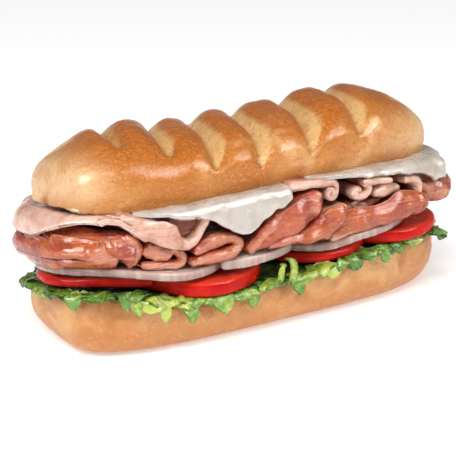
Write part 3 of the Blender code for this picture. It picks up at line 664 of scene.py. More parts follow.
def make_meats():
    made = []
    for slot, table in (("ham", HAM), ("turkey", TURKEY)):
        for k, (name, path, front, back) in enumerate(table):
            count = MEAT_STEPS * len(path)
            made.append(slice_piece(name, slot, path, front, back, count, SEEDS[slot] + 7 * k))
    for k, (name, centre, reach, thick, turns, leave, tail, squash) in enumerate(ROLLS):
        path = rolled(centre, reach, thick, turns, leave, tail, squash)
        count = ROLLED_STEPS * len(path)
        made.append(slice_piece(name, "turkey", path, *ROLLED_REACH, count, SEEDS["rolled"] + 7 * k))
    return made


# Sheets that lie over the filling and hang down over its edge
SHEET_LIMIT_U = 97.0
SHEET_LIMIT_W = 41.5
SHEETS = (
    # name, slot, (p, height, front hang, back hang) along it, bend, thickness, swing
    (
        "turkey_1", "turkey",
        (
            (-115, 65.4, 1.4, 2.0), (-105, 65.9, 3.0, 5.0), (-95, 65.4, 4.2, 6.0),
            (-88, 63.0, 4.2, 5.0), (-80, 58.8, 3.6, 5.0), (-74, 55.6, 2.6, 3.0),
        ),
        9.0, 2.4, 12.0,
    ),
    (
        "cheese_1", "cheese",
        (
            (-82, 68.2, 0.8, 2.0), (-66, 68.2, 4.4, 6.0), (-44, 68.2, 10.5, 9.0), (-35, 68.2, 16.0, 10.0),
            (-24, 68.2, 20.4, 9.0), (-16, 68.2, 18.0, 8.0), (-8, 68.2, 13.0, 7.0), (-0.8, 68.2, 9.0, 6.0),
        ),
        4.8, 2.2, 0.0,
    ),
    (
        "cheese_2", "cheese",
        (
            (11, 68.6, 0.5, 2.0), (28, 68.2, 2.8, 4.0), (50, 68.2, 7.0, 8.0), (68, 68.2, 9.5, 10.0),
            (82, 68.2, 12.5, 9.0), (93, 68.2, 15.5, 7.0), (103.5, 68.2, 13.0, 6.0),
        ),
        5.0, 2.2, 0.0,
    ),
)
SHEET_ROWS = 120
HANG_CUTS = 26
LAID_CUTS = 30
LEAST_HANG = 0.4
MELT = {"cheese": 1.0, "turkey": 0.35}
SHEET_LUMPS = {"cheese": ((9.0, 0.5), (4.5, 0.18)), "turkey": ((8.0, 0.4), (3.6, 0.12))}
DRIP_WAVES = ((9.0, 1.5), (3.6, 0.8))
BEHIND_WAVE = ((9.0, 1.6),)
END_WAVE = ((8.0, 1.2),)
SHEET_WANDER = ((9.0, 0.18),)
SWING_SPAN = (-5.0, 35.0)
SHEET_EDGE = 0.55
EDGE_CELLS = 1.3
EDGE_MARK_CELLS = 2.5
RIM_REACH_SHARE = 0.8


def drape(p, q, top, bend):
    """A point of a flat sheet laid over the filling: past the limits it bends over and hangs."""
    over_u = np.maximum(np.abs(p) - SHEET_LIMIT_U, 0)
    over_w = np.maximum(np.abs(q) - SHEET_LIMIT_W, 0)
    over = np.hypot(over_u, over_w) + 1e-9
    out = bend * (1 - np.exp(-over / bend))
    u = np.clip(p, -SHEET_LIMIT_U, SHEET_LIMIT_U) + np.sign(p) * over_u / over * out
    w = np.clip(q, -SHEET_LIMIT_W, SHEET_LIMIT_W) + np.sign(q) * over_w / over * out
    return np.column_stack([u, w, top - (over - out)])


def shell(grid, thick, edge_share):
    """Points, quads and marks of a sheet with rounded rim from a grid of its middle surface."""
    rows, cols = grid.shape[:2]
    normal = np.cross(np.gradient(grid, axis=0), np.gradient(grid, axis=1))
    normal /= np.linalg.norm(normal, axis=2)[:, :, None] + 1e-12
    i, j = np.meshgrid(np.arange(rows), np.arange(cols), indexing="ij")
    near = np.minimum(np.minimum(i, rows - 1 - i), np.minimum(j, cols - 1 - j))
    swollen = 1 - (1 - edge_share) * np.exp(-near / EDGE_CELLS)
    half = np.broadcast_to(thick, (rows, cols)) * swollen / 2
    up = grid + normal * half[:, :, None]
    down = grid - normal * half[:, :, None]
    loop = [(r, 0) for r in range(rows)]
    loop += [(rows - 1, c) for c in range(1, cols)]
    loop += [(r, cols - 1) for r in range(rows - 2, -1, -1)]
    loop += [(0, c) for c in range(cols - 2, 0, -1)]
    loop = np.array(loop)
    inner = np.column_stack([np.clip(loop[:, 0], 1, rows - 2), np.clip(loop[:, 1], 1, cols - 2)])
    here = grid[loop[:, 0], loop[:, 1]]
    out = here - grid[inner[:, 0], inner[:, 1]]
    out /= np.linalg.norm(out, axis=1)[:, None] + 1e-9
    rim = here + out * half[loop[:, 0], loop[:, 1]][:, None] * RIM_REACH_SHARE
    base = rows * cols
    points = np.vstack([up.reshape(-1, 3), down.reshape(-1, 3), rim])
    top = grid_quads(rows, cols, False)
    under = grid_quads(rows, cols, False, base)[:, ::-1]
    a = loop[:, 0] * cols + loop[:, 1]
    b = np.roll(a, -1)
    c = 2 * base + np.arange(len(loop))
    d = np.roll(c, -1)
    band = np.vstack([np.column_stack([a, c, d, b]), np.column_stack([c, a + base, b + base, d])])
    edge = np.exp(-near / EDGE_MARK_CELLS).ravel()
    marks = {"edge": np.concatenate([edge, edge, np.ones(len(loop))])}
    return points, np.vstack([top, under, band]), marks


def make_sheets():
    made = []
    for k, (name, slot, along, bend, thick, swing) in enumerate(SHEETS):
        seed = SEEDS["sheet"] + 11 * k
        line = through(along, SHEET_ROWS)
        share = np.linspace(0, 1, SHEET_ROWS)
        p = line[:, 0]
        drip = MELT[slot] * waves(p, DRIP_WAVES, seed)
        front = np.maximum(line[:, 2] + drip * smooth_step(0, 8, line[:, 2]), LEAST_HANG)
        rear_wave = MELT[slot] * waves(p, BEHIND_WAVE, seed + 2)
        behind = np.maximum(line[:, 3] + rear_wave, LEAST_HANG)
        hang = np.linspace(0, 1, HANG_CUTS + 1)[1:]
        laid = np.linspace(-SHEET_LIMIT_W, SHEET_LIMIT_W, LAID_CUTS)
        grid = []
        for i in range(SHEET_ROWS):
            back, fore = -SHEET_LIMIT_W - behind[i] * hang[::-1], SHEET_LIMIT_W + front[i] * hang
            q = np.concatenate([back, laid, fore])
            pull = swing * smooth_step(*SWING_SPAN, q) * (1 - share[i]) ** 2
            last = waves(q + 60, END_WAVE, seed + 3) * smooth_step(0.9, 1.0, share[i])
            grid.append(settle(drape(p[i] + pull + last, q, line[i, 1], bend)))
        grid = np.array(grid)
        uneven = 1 + layered(grid.reshape(-1, 3), SHEET_WANDER, seed + 5)
        points, quads, marks = shell(grid, thick * uneven.reshape(grid.shape[:2]), SHEET_EDGE)
        piece = model(name + "_look", slot, points, quads, None, marks)
        lumps(piece, SHEET_LUMPS[slot], seed)
        made.append(piece)
    return made


# Broad faces of slices that lie over the folds behind them
FLAP_LONG = 70
FLAP_HIGH = 26
FLAP_THICK = 1.5
FLAP_EDGE = 0.6
FLAP_LUMPS = ((5.0, 0.25), (2.0, 0.04))
LOW_EDGE_WAVE = ((4.5, 0.7),)
HIGH_EDGE_WAVE = ((6.0, 0.5),)
EDGE_WAVE_WAY = (0.3, 1.0)
FLAP_WAVE = ((8.0, 0.8),)
FLAP_DENTS = ((7.0, 0.8),)
FLAP_STRETCH = (1.0, 1.0, 0.5)
BULGE_POWER = 0.8
START_SINK = 3.0
START_SHARE = 0.3
END_SINK = 1.6
END_SHARE = 0.08
INNER_SHADE_DEPTH = 4.5
FLAPS = (
    # node, mark in its name, side, lower edge and upper edge as (u or w, z), reach at its edges, bulge
    (
        "ham_1", "end", "left",
        ((10, 49), (18, 43.8), (28, 41.0), (41, 41.6)),
        ((8, 56), (18, 57.4), (28, 57), (41, 55)), 101.6, 2.2,
    ),
    (
        "ham_1", "tip", "left",
        ((-24, 42.5), (-14, 39.4), (0, 38.6), (14, 39.4), (27, 41.4)),
        ((-26, 51), (-12, 54.5), (2, 55.6), (14, 53), (24, 45)), 102.6, 2.2,
    ),
    (
        "ham_1", "face", "front",
        ((-98, 47.8), (-91, 45.6), (-86, 41.8), (-84, 39.4)),
        ((-98, 55), (-92, 57.5), (-86, 57), (-79.5, 54.5)), 41.4, 4.0,
    ),
    (
        "turkey_2", "face", "front",
        ((-84, 59.4), (-75, 55.6), (-64, 52.0), (-55, 50.8)),
        ((-85, 66.6), (-74, 65.6), (-65, 64.6), (-58.5, 61.0)), 45.2, 1.4,
    ),
    # a sheet in the hollow of the loop, which gets painted shade
    (
        "turkey_2", "inner", "front",
        ((-64, 55), (-57, 52.6), (-50, 52.6), (-44, 57)),
        ((-66, 66), (-58, 66.5), (-50, 66.5), (-42, 65)), 38.0, 1.0,
    ),
    (
        "ham_6", "face", "front",
        ((-20.5, 42.2), (-7, 44.8), (6, 48.2), (15, 52.0)),
        ((-19.5, 44.6), (-7, 55.2), (5, 61.6), (17.5, 60.4)), 44.6, 2.2,
    ),
    (
        "ham_8", "face", "front",
        ((0, 42.4), (11, 41.6), (22, 43.6), (28, 48.4)),
        ((0, 45.2), (11, 47.6), (20, 54.2), (29, 54.6)), 45.6, 2.2,
    ),
    (
        "ham_10", "face", "front",
        ((19, 39.2), (34, 39.0), (52, 39.6), (67, 40.4), (83, 41.4)),
        ((19, 41.6), (34, 50.6), (50, 49.6), (64, 54.4), (86, 49.4)), 44.2, 2.8,
    ),
)


def make_flaps():
    made = []
    for k, (node, part, side, lower, upper, reach, bulge) in enumerate(FLAPS):
        seed = SEEDS["face"] + 9 * k
        low, high = through(lower, FLAP_LONG), through(upper, FLAP_LONG)
        run = np.linspace(0, 1, FLAP_LONG) * np.linalg.norm(low[-1] - low[0])
        low = low + waves(run, LOW_EDGE_WAVE, seed)[:, None] * EDGE_WAVE_WAY
        high = high + waves(run, HIGH_EDGE_WAVE, seed + 1)[:, None] * EDGE_WAVE_WAY
        share = np.linspace(0, 1, FLAP_HIGH)[None, :]
        u = low[:, :1] * (1 - share) + high[:, :1] * share
        z = low[:, 1:] * (1 - share) + high[:, 1:] * share
        w = reach + bulge * np.sin(math.pi * share**BULGE_POWER) ** BULGE_POWER
        w = w + waves(run, FLAP_WAVE, seed + 2)[:, None]
        spots = np.stack(np.broadcast_arrays(u, 0 * u, z), axis=-1).reshape(-1, 3)
        w = w + layered(spots * FLAP_STRETCH, FLAP_DENTS, seed + 3).reshape(u.shape)
        along = (run / run[-1])[:, None]
        w = w - START_SINK * (1 - smooth_step(0.0, START_SHARE, along))
        w = w - END_SINK * (1 - smooth_step(0.0, END_SHARE, 1 - along))
        place = [-w, u, z] if side == "left" else [u, w, z]
        grid = settle(np.stack(place, axis=-1).reshape(-1, 3)).reshape(FLAP_LONG, FLAP_HIGH, 3)
        points, quads, marks = shell(grid, FLAP_THICK, FLAP_EDGE)
        # painted shade over the whole inner face in the hollow of the loop
        if part == "inner":
            marks["depth"] = np.full(len(points), INNER_SHADE_DEPTH)
        piece = model(f"{node}_{part}_look", node.split("_")[0], points, quads, None, marks, [node])
        lumps(piece, FLAP_LUMPS, seed + 4)
        made.append(piece)
    return made


# Round slices of tomato and onion
SLICE_POINTS = 300
SLICE_CLEARANCE = 1.5
SLICE_RISE = (18.0, 42.0)
ARC_DEPTH = 24.0
SLICES = (
    # name, slot, kernel point, circle centre and radius, low at left and right, thickness, avoid, chord
    ("tomato_1", "tomato", (-86, 6), (-71, 3, 31), (28.2, 28.2), 4.6, ((-35, 12, 33.5),), None),
    ("tomato_2", "tomato", (-35, 12), (-35, 12, 33.5), (25.6, 25.6), 6.8, (), None),
    ("tomato_3", "tomato", (24, 14), (30, 15, 26.5), (26.6, 26.6), 4.2, ((68, 18, 27),), None),
    ("tomato_4", "tomato", (68, 18), (68, 18, 27), (27.2, 27.2), 6.4, (), None),
    ("onion_1", "onion", (-57, 0), (-57, 0, 44.5), (34.4, 34.4), 4.6, (), None),
    ("onion_2", "onion", (-10, 39), (-18, 2, 43), (36.2, 36.2), 4.4, ((-57, 0, 44.5),), (4.5, -1)),
    ("onion_3", "onion", (43, 4), (43, 4, 41.5), (31.3, 34.4), 4.2, (), (6.0, 1)),
)
# inset in millimetres and share of the thickness, from the lower face round the rim to the upper face
SLICE_RIM = (
    (2.0, 0.0), (1.1, 0.03), (0.5, 0.1), (0.15, 0.2), (0.0, 0.35), (0.0, 0.5),
    (0.05, 0.65), (0.2, 0.8), (0.6, 0.92), (1.2, 0.98), (2.0, 1.0),
)
FACE_INSET = SLICE_RIM[0][0]
LEAST_REACH = 0.4
SLICE_SHARES = (0.04, 0.08, 0.13, 0.19, 0.26, 0.34, 0.43, 0.53, 0.64, 0.76, 0.88)
RING_PITCH = 4.6
EDGE_WANDER = ((6.0, 0.35),)
EDGE_FADE = (2, 10)
STRIPE_WAVES = ((1.5, 1.0), (5.0, 0.6))
STRIPE_HEIGHT = 0.06
CUT_TOMATO = "tomato_4"
CUT_TOMATO_RIM = (14.0, 8.0)
PULP_LUMPS = ((3.0, 0.3),)
CUT_PULP_LUMPS = ((1.6, 0.15),)
TOMATO_LUMPS = ((8.0, 0.16),)
TOMATO_FULLER = 0.12
ONION_LUMPS = ((9.0, 0.18),)
RING_GROOVE = 0.28
GROOVE_SPREAD = 0.18
HALVINGS = 20


def reach_of(centre, radius, angle, avoid, chord):
    """Distance from the centre to the edge of a slice that gives way to round neighbours and a cut."""
    low, high = 0.0, radius
    direction = np.array([math.cos(angle), math.sin(angle)])

    def free(distance):
        at = np.array(centre) + direction * distance
        clear = all(math.hypot(at[0] - c[0], at[1] - c[1]) > c[2] + SLICE_CLEARANCE for c in avoid)
        return clear and (chord is None or (at[0] - chord[0]) * chord[1] >= 0)

    if free(high):
        return high
    for _ in range(HALVINGS):
        middle = (low + high) / 2
        low, high = (middle, high) if free(middle) else (low, middle)
    return low


def make_slices():
    made = []
    for k, (name, slot, kernel, circle, lows, thick, avoid, chord) in enumerate(SLICES):
        seed = SEEDS["slice"] + 13 * k
        kernel = np.array(kernel, float)
        offset = kernel - np.array(circle[:2])
        angles = np.linspace(0, 2 * math.pi, SLICE_POINTS, endpoint=False)
        directions = np.column_stack([np.cos(angles), np.sin(angles)])
        reach = []
        for angle, direction in zip(angles, directions):
            along = offset @ direction
            to_circle = -along + math.sqrt(max(along**2 - offset @ offset + circle[2] ** 2, 0))
            to_circle = min(to_circle, ARC_DEPTH) if avoid and chord else to_circle
            reach.append(reach_of(kernel, to_circle, angle, avoid, chord))
        reach = np.array(reach)
        ragged = waves(angles * 20, EDGE_WANDER, seed)
        reach = reach + ragged * smooth_step(*EDGE_FADE, reach)
        rings, levels, rims = [], [], []
        profile = [(share, FACE_INSET, 0.0) for share in SLICE_SHARES[::-1]]
        profile += [(0.0, inset, level) for inset, level in SLICE_RIM]
        profile += [(share, FACE_INSET, 1.0) for share in SLICE_SHARES]
        for share, inset, level in profile:
            rings.append(kernel + directions * ((reach - inset).clip(LEAST_REACH) * (1 - share))[:, None])
            levels.append(np.full(SLICE_POINTS, level))
            rims.append(np.full(SLICE_POINTS, float(share == 0)))
        plan = np.vstack(rings + [kernel[None], kernel[None]])
        level = np.concatenate(levels + [[0.0, 1.0]])
        rim = np.concatenate(rims + [[0, 0]])
        inward = circle[2] - np.hypot(plan[:, 0] - circle[0], plan[:, 1] - circle[1])
        rise = lows[0] + (lows[1] - lows[0]) * smooth_step(*SLICE_RISE, plan[:, 0])
        groove = 0.0
        if slot == "onion":
            groove = RING_GROOVE * np.exp(-(((inward % RING_PITCH) - RING_PITCH / 2) ** 2) / GROOVE_SPREAD)
            groove = groove * (1 - rim) * np.sign(0.5 - level)
        points = lie(np.column_stack([plan, rise + level * thick + groove]))
        turn = np.append(np.tile(angles, len(rings)), [0, 0]) * circle[2]
        stripe = waves(turn, STRIPE_WAVES, seed + 1)
        if name == CUT_TOMATO:
            rim = np.maximum(rim, smooth_step(*CUT_TOMATO_RIM, inward))
        marks = {"level": level, "rim": rim, "inward": inward, "stripe": stripe}
        piece = model(name + "_look", slot, points, *capped(len(rings), SLICE_POINTS), marks)
        at = places(piece)
        if slot == "tomato":
            pulp = layered(at, PULP_LUMPS, seed + 3) * (1 - rim)
            if name == CUT_TOMATO:
                pulp = pulp + layered(at, CUT_PULP_LUMPS, seed + 4) * rim
            swell(piece, TOMATO_FULLER + pulp + layered(at, TOMATO_LUMPS, seed + 5))
        else:
            swell(piece, STRIPE_HEIGHT * stripe * rim + layered(at, ONION_LUMPS, seed + 5))
        made.append(piece)
    return made


# Lettuce: a low bed and loose shreds on and round its edge
BED_POINTS = 300
BED_SHARES = (0.1, 0.2, 0.3, 0.4, 0.5, 0.6, 0.7, 0.8, 0.87, 0.93)
BED_EDGE = ((0.955, 0.2), (0.965, 0.5), (0.955, 0.8))
BED_LUMPS = ((4.0, 0.35),)
BED_TINT = 0.15
BED_LOW = 23.2
BED_HIGH = 24.9
LEAF_LONG = 22
LEAF_WIDE = 9
LEAF_THICK = 0.45
LEAF_BEND = 2.6
LEAF_EDGE = 0.6
RIM_REACH_OUT = 0.8
LEAF_TAPER = 0.75
LEAF_TAPER_POWER = (2.0, 4.0)
LEAF_RAGGED = ((2.4, 0.13),)
LEAF_BOW = (-0.12, 0.12)
LEAF_CYCLES = (0.9, 1.9)
LEAF_RUFFLE = (0.6, 1.5)
LEAF_CUP = (-1.4, 1.6)
LEAF_RELIEF = 0.8
FINE_RUFFLE = 0.14
FINE_CYCLES = 2.7
DROOP_GAIN = 1.25
RUFFLE_PUSH = 0.9
LEAF_SEED = 5
LOOSE_COUNT = 84
LOOSE_SHIFT = (-0.3, 0.3)
# outward, length, width, turn in degrees, height
LOOSE_SPANS = ((-4.5, 1.0), (11, 21), (4.0, 7.5), (-70, 70), (23.9, 25.4))
LOOSE_TINT = (0.42, 0.24)
LOOSE_DROOP = (0.3, 0.9)
TINT_CHANGE = 0.45
RIB_WIDTH = 0.3

PLACED = (
    # edge place u, outward, length, width, turn in degrees, height, droop, tint
    (-99, -1.0, 15, 7.5, 12, 25.6, 0.4, 0.18),
    (-90, 1.5, 14, 6.5, 70, 25.2, 0.8, 0.30),
    (-79, 0.5, 16, 6.0, -35, 25.8, 0.6, 0.25),
    (-84, 1.5, 17, 4.0, 8, 23.8, 0.5, 0.70),
    (-71, 1.6, 13, 5.5, 35, 25.0, 0.7, 0.85),
    (-83, 3.2, 12, 5.5, 62, 25.0, 1.2, 0.80),
    (-75, 2.6, 14, 5.0, 18, 24.6, 1.3, 0.92),
    (-66, 3.4, 11, 5.0, 78, 24.6, 1.2, 0.88),
    (-61, 1.4, 15, 5.0, -12, 24.6, 0.8, 0.92),
    (-52, 3.5, 11, 6.0, 84, 24.4, 1.0, 0.66),
    (-56, 1.0, 10, 4.5, 20, 25.4, 0.5, 0.78),
    (-45, 1.2, 12, 5.0, -30, 25.0, 0.6, 0.55),
    (-36, 1.8, 13, 8.0, 62, 25.6, 0.9, 0.50),
    (-27, 1.0, 12, 6.5, 25, 25.2, 0.7, 0.38),
    (-20, 2.2, 10, 5.5, 75, 25.2, 0.9, 0.45),
    (-10, 1.2, 12, 5.0, -20, 25.4, 0.6, 0.62),
    (4, 2.4, 12, 5.0, 80, 25.0, 0.9, 0.55),
    (10, 1.0, 15, 5.5, -8, 25.2, 0.5, 0.72),
    (21, 1.8, 15, 9.0, 22, 25.4, 0.7, 0.80),
    (31, 1.6, 11, 5.0, -38, 25.8, 0.7, 0.60),
    (36, 2.0, 10, 6.5, 72, 26.2, 0.9, 0.35),
    (45, 1.0, 14, 8.0, 15, 26.4, 0.6, 0.32),
    (53, 1.6, 13, 7.0, 48, 26.2, 0.8, 0.42),
    (63, 1.0, 12, 5.0, -25, 26.2, 0.6, 0.28),
    (74, 1.4, 15, 6.0, 20, 26.4, 0.6, 0.60),
    (84, 1.2, 12, 6.0, -15, 26.8, 0.6, 0.38),
    (97, 1.6, 14, 8.0, 30, 26.6, 0.6, 0.22),
)
PLACED_LEFT = (
    # edge place w on the left end, and the rest as above
    (37, 1.2, 19, 10.0, 18, 25.2, 0.8, 0.30),
    (27, 2.0, 15, 8.0, 65, 25.0, 1.0, 0.55),
    (16, 1.0, 18, 9.0, -18, 25.4, 0.7, 0.22),
    (3, 1.4, 15, 8.0, 40, 25.2, 0.8, 0.45),
    (-10, 0.8, 17, 8.0, -25, 25.4, 0.6, 0.28),
    (-26, 1.2, 16, 8.0, 15, 25.2, 0.7, 0.38),
)
# how much longer, wider, further out and more drooping the shreds at the front are
LEAF_GROW = (1.18, 1.3)
FRONT_OUT = 0.6
FRONT_DROOP = 0.1
CURLS = (
    # edge place u, height where it starts, rise, lean along u, width, tint
    (-6.5, 24.5, 10.0, 4.0, 3.6, 0.80),
    (1.5, 24.2, 12.5, -1.5, 4.2, 0.72),
)
CURL_PLACE = 43.5
CURL_BELLY = 1.6
CURL_CUP = 0.9
CURL_WAVE = 0.5
CURL_SUNK = 1.5
CURL_BACK = 3.2
CURL_TURN = 1.25


def around(share):
    """A place on the edge of the straight filling, from its front left corner on, with the way out."""
    length, width = 2 * FILL_HALF_LENGTH, 2 * FILL_HALF_WIDTH
    at = (share % 1.0) * 2 * (length + width)
    if at < length:
        return (at - FILL_HALF_LENGTH, FILL_HALF_WIDTH), (0.0, 1.0)
    if at < length + width:
        return (FILL_HALF_LENGTH, FILL_HALF_WIDTH - (at - length)), (1.0, 0.0)
    if at < 2 * length + width:
        return (FILL_HALF_LENGTH - (at - length - width), -FILL_HALF_WIDTH), (0.0, -1.0)
    return (-FILL_HALF_LENGTH, at - 2 * length - width - FILL_HALF_WIDTH), (-1.0, 0.0)


def leaf(rng, place, way, outward, length, width, turn, height, droop):
    """Middle surface of one shred: a ruffled strip that bends down where it passes the rim."""
    a = np.linspace(-0.5, 0.5, LEAF_LONG)[:, None]
    b = np.linspace(-0.5, 0.5, LEAF_WIDE)[None, :]
    taper = 1 - LEAF_TAPER * np.abs(2 * a) ** rng.uniform(*LEAF_TAPER_POWER)
    edge_run = a.ravel() * length + rng.uniform(0, 50)
    ragged = 1 + waves(edge_run, LEAF_RAGGED, int(rng.integers(1, 999)))[:, None]
    bow = rng.uniform(*LEAF_BOW) * length * (4 * a**2 - 0.5)
    along = a * length + 0 * b
    across = b * width * taper * ragged + bow
    phase = rng.uniform(0, 2 * math.pi)
    cycles = rng.uniform(*LEAF_CYCLES)
    ruffle = rng.uniform(*LEAF_RUFFLE) * np.sin(2 * math.pi * cycles * a + phase) * (0.35 + 1.3 * np.abs(b))
    cup = rng.uniform(*LEAF_CUP) * (2 * b) ** 2
    fine = FINE_RUFFLE * np.sin(2 * math.pi * (cycles * FINE_CYCLES) * a + phase * 2 + 6 * b)
    radians = math.radians(turn)
    t = along * math.cos(radians) - across * math.sin(radians)
    o = outward + along * math.sin(radians) + across * math.cos(radians)
    h = height + LEAF_RELIEF * (ruffle + cup + fine)
    over = np.maximum(o - RIM_REACH_OUT, 0)
    out = LEAF_BEND * (1 - np.exp(-over / LEAF_BEND))
    o = np.minimum(o, RIM_REACH_OUT) + out
    h = h - (over - out) * droop * DROOP_GAIN
    push = RUFFLE_PUSH * np.maximum(ruffle, 0) * (over > 0)
    tangent = (way[1], -way[0])
    u = place[0] + tangent[0] * t + way[0] * (o + push)
    w = place[1] + tangent[1] * t + way[1] * (o + push)
    flat = np.column_stack([u.ravel(), w.ravel(), h.ravel()])
    return settle(flat).reshape(LEAF_LONG, LEAF_WIDE, 3)


def curl(rng, u0, low, rise, lean, width):
    """A shred that stands up in front of the filling and bends over at its top."""
    a = np.linspace(0, 1, LEAF_LONG)[:, None]
    b = np.linspace(-0.5, 0.5, LEAF_WIDE)[None, :]
    wave = rng.uniform(0, 6)
    u = u0 + lean * a**1.3 + b * width * (1 - 0.3 * a) + CURL_WAVE * np.sin(7 * a + wave)
    w = CURL_PLACE + CURL_BELLY * np.sin(a * 3.0) + CURL_CUP * (2 * b) ** 2
    w = w - CURL_BACK * smooth_step(0.75, 1.0, a)
    z = low - CURL_SUNK + rise * np.sin(a * CURL_TURN * math.pi / 2) + 0 * b
    flat = np.column_stack([u.ravel(), w.ravel(), z.ravel()])
    return settle(flat).reshape(LEAF_LONG, LEAF_WIDE, 3)


def lettuce_bed():
    """Points, quads and triangles of the low bed, looking outwards."""
    low = [(share, 0.0) for share in BED_SHARES]
    high = [(share, 1.0) for share in BED_SHARES[::-1]]
    rings = []
    for share, level in low + list(BED_EDGE) + high:
        x, y = super_ring(FILL_HALF_LENGTH * share, FILL_HALF_WIDTH * share, BED_POINTS)
        rings.append(np.column_stack([x, y, np.full(BED_POINTS, BED_LOW + level * (BED_HIGH - BED_LOW))]))
    points = lie(np.vstack(rings + [[[0, 0, BED_LOW], [0, 0, BED_HIGH]]]))
    points[:, 2] += layered(points, BED_LUMPS, SEEDS["bed"])
    quads, caps = capped(len(rings), BED_POINTS)
    if looks_out(points, quads, caps):
        return points, quads, caps
    return points, quads[:, ::-1], caps[:, ::-1]


def shreds(rng):
    """Middle surface and tint of every shred: the placed ones, the curls, then the loose ones."""
    grids = []
    for u0, outward, length, width, turn, height, droop, tint in PLACED:
        place, way = (u0, FILL_HALF_WIDTH), (0.0, 1.0)
        length, width = length * LEAF_GROW[0], width * LEAF_GROW[1]
        outward, droop = outward + FRONT_OUT, droop + FRONT_DROOP
        grids.append((leaf(rng, place, way, outward, length, width, turn, height, droop), tint))
    for w0, outward, length, width, turn, height, droop, tint in PLACED_LEFT:
        place = (-FILL_HALF_LENGTH, w0)
        grids.append((leaf(rng, place, (-1.0, 0.0), outward, length, width, turn, height, droop), tint))
    for *shape, tint in CURLS:
        grids.append((curl(rng, *shape), tint))
    for k in range(LOOSE_COUNT):
        place, way = around((k + rng.uniform(*LOOSE_SHIFT)) / LOOSE_COUNT)
        shape = [rng.uniform(*span) for span in LOOSE_SPANS]
        tint = float(np.clip(rng.normal(*LOOSE_TINT), 0.0, 1.0))
        grids.append((leaf(rng, place, way, *shape, rng.uniform(*LOOSE_DROOP)), tint))
    return grids


def make_lettuce():
    rng = np.random.default_rng(LEAF_SEED)
    points, quads, caps = lettuce_bed()
    everything, faces = [points], [quads]
    tints, ribs = [np.full(len(points), BED_TINT)], [np.zeros(len(points))]
    start = len(points)
    middle = np.abs(np.linspace(-1, 1, LEAF_WIDE))[None, :] * np.ones((LEAF_LONG, 1))
    rib = np.exp(-((middle / RIB_WIDTH) ** 2)).ravel()
    length_share = np.repeat(np.linspace(-0.5, 0.5, LEAF_LONG), LEAF_WIDE)
    for grid, tint in shreds(rng):
        leaf_points, leaf_quads, _ = shell(grid, LEAF_THICK, LEAF_EDGE)
        if not looks_out(leaf_points, leaf_quads, np.zeros((0, 3), int)):
            leaf_quads = leaf_quads[:, ::-1]
        everything.append(leaf_points)
        faces.append(leaf_quads + start)
        start += len(leaf_points)
        bare = np.zeros(len(leaf_points) - 2 * len(rib))
        change = rng.choice([-TINT_CHANGE, TINT_CHANGE]) * length_share
        tints.append(tint + np.concatenate([change, change, bare]))
        ribs.append(np.concatenate([rib, rib, bare]))
    marks = {"tint": np.concatenate(tints), "rib": np.concatenate(ribs)}
    return model("lettuce_look", "lettuce", np.vstack(everything), np.vstack(faces), caps, marks)


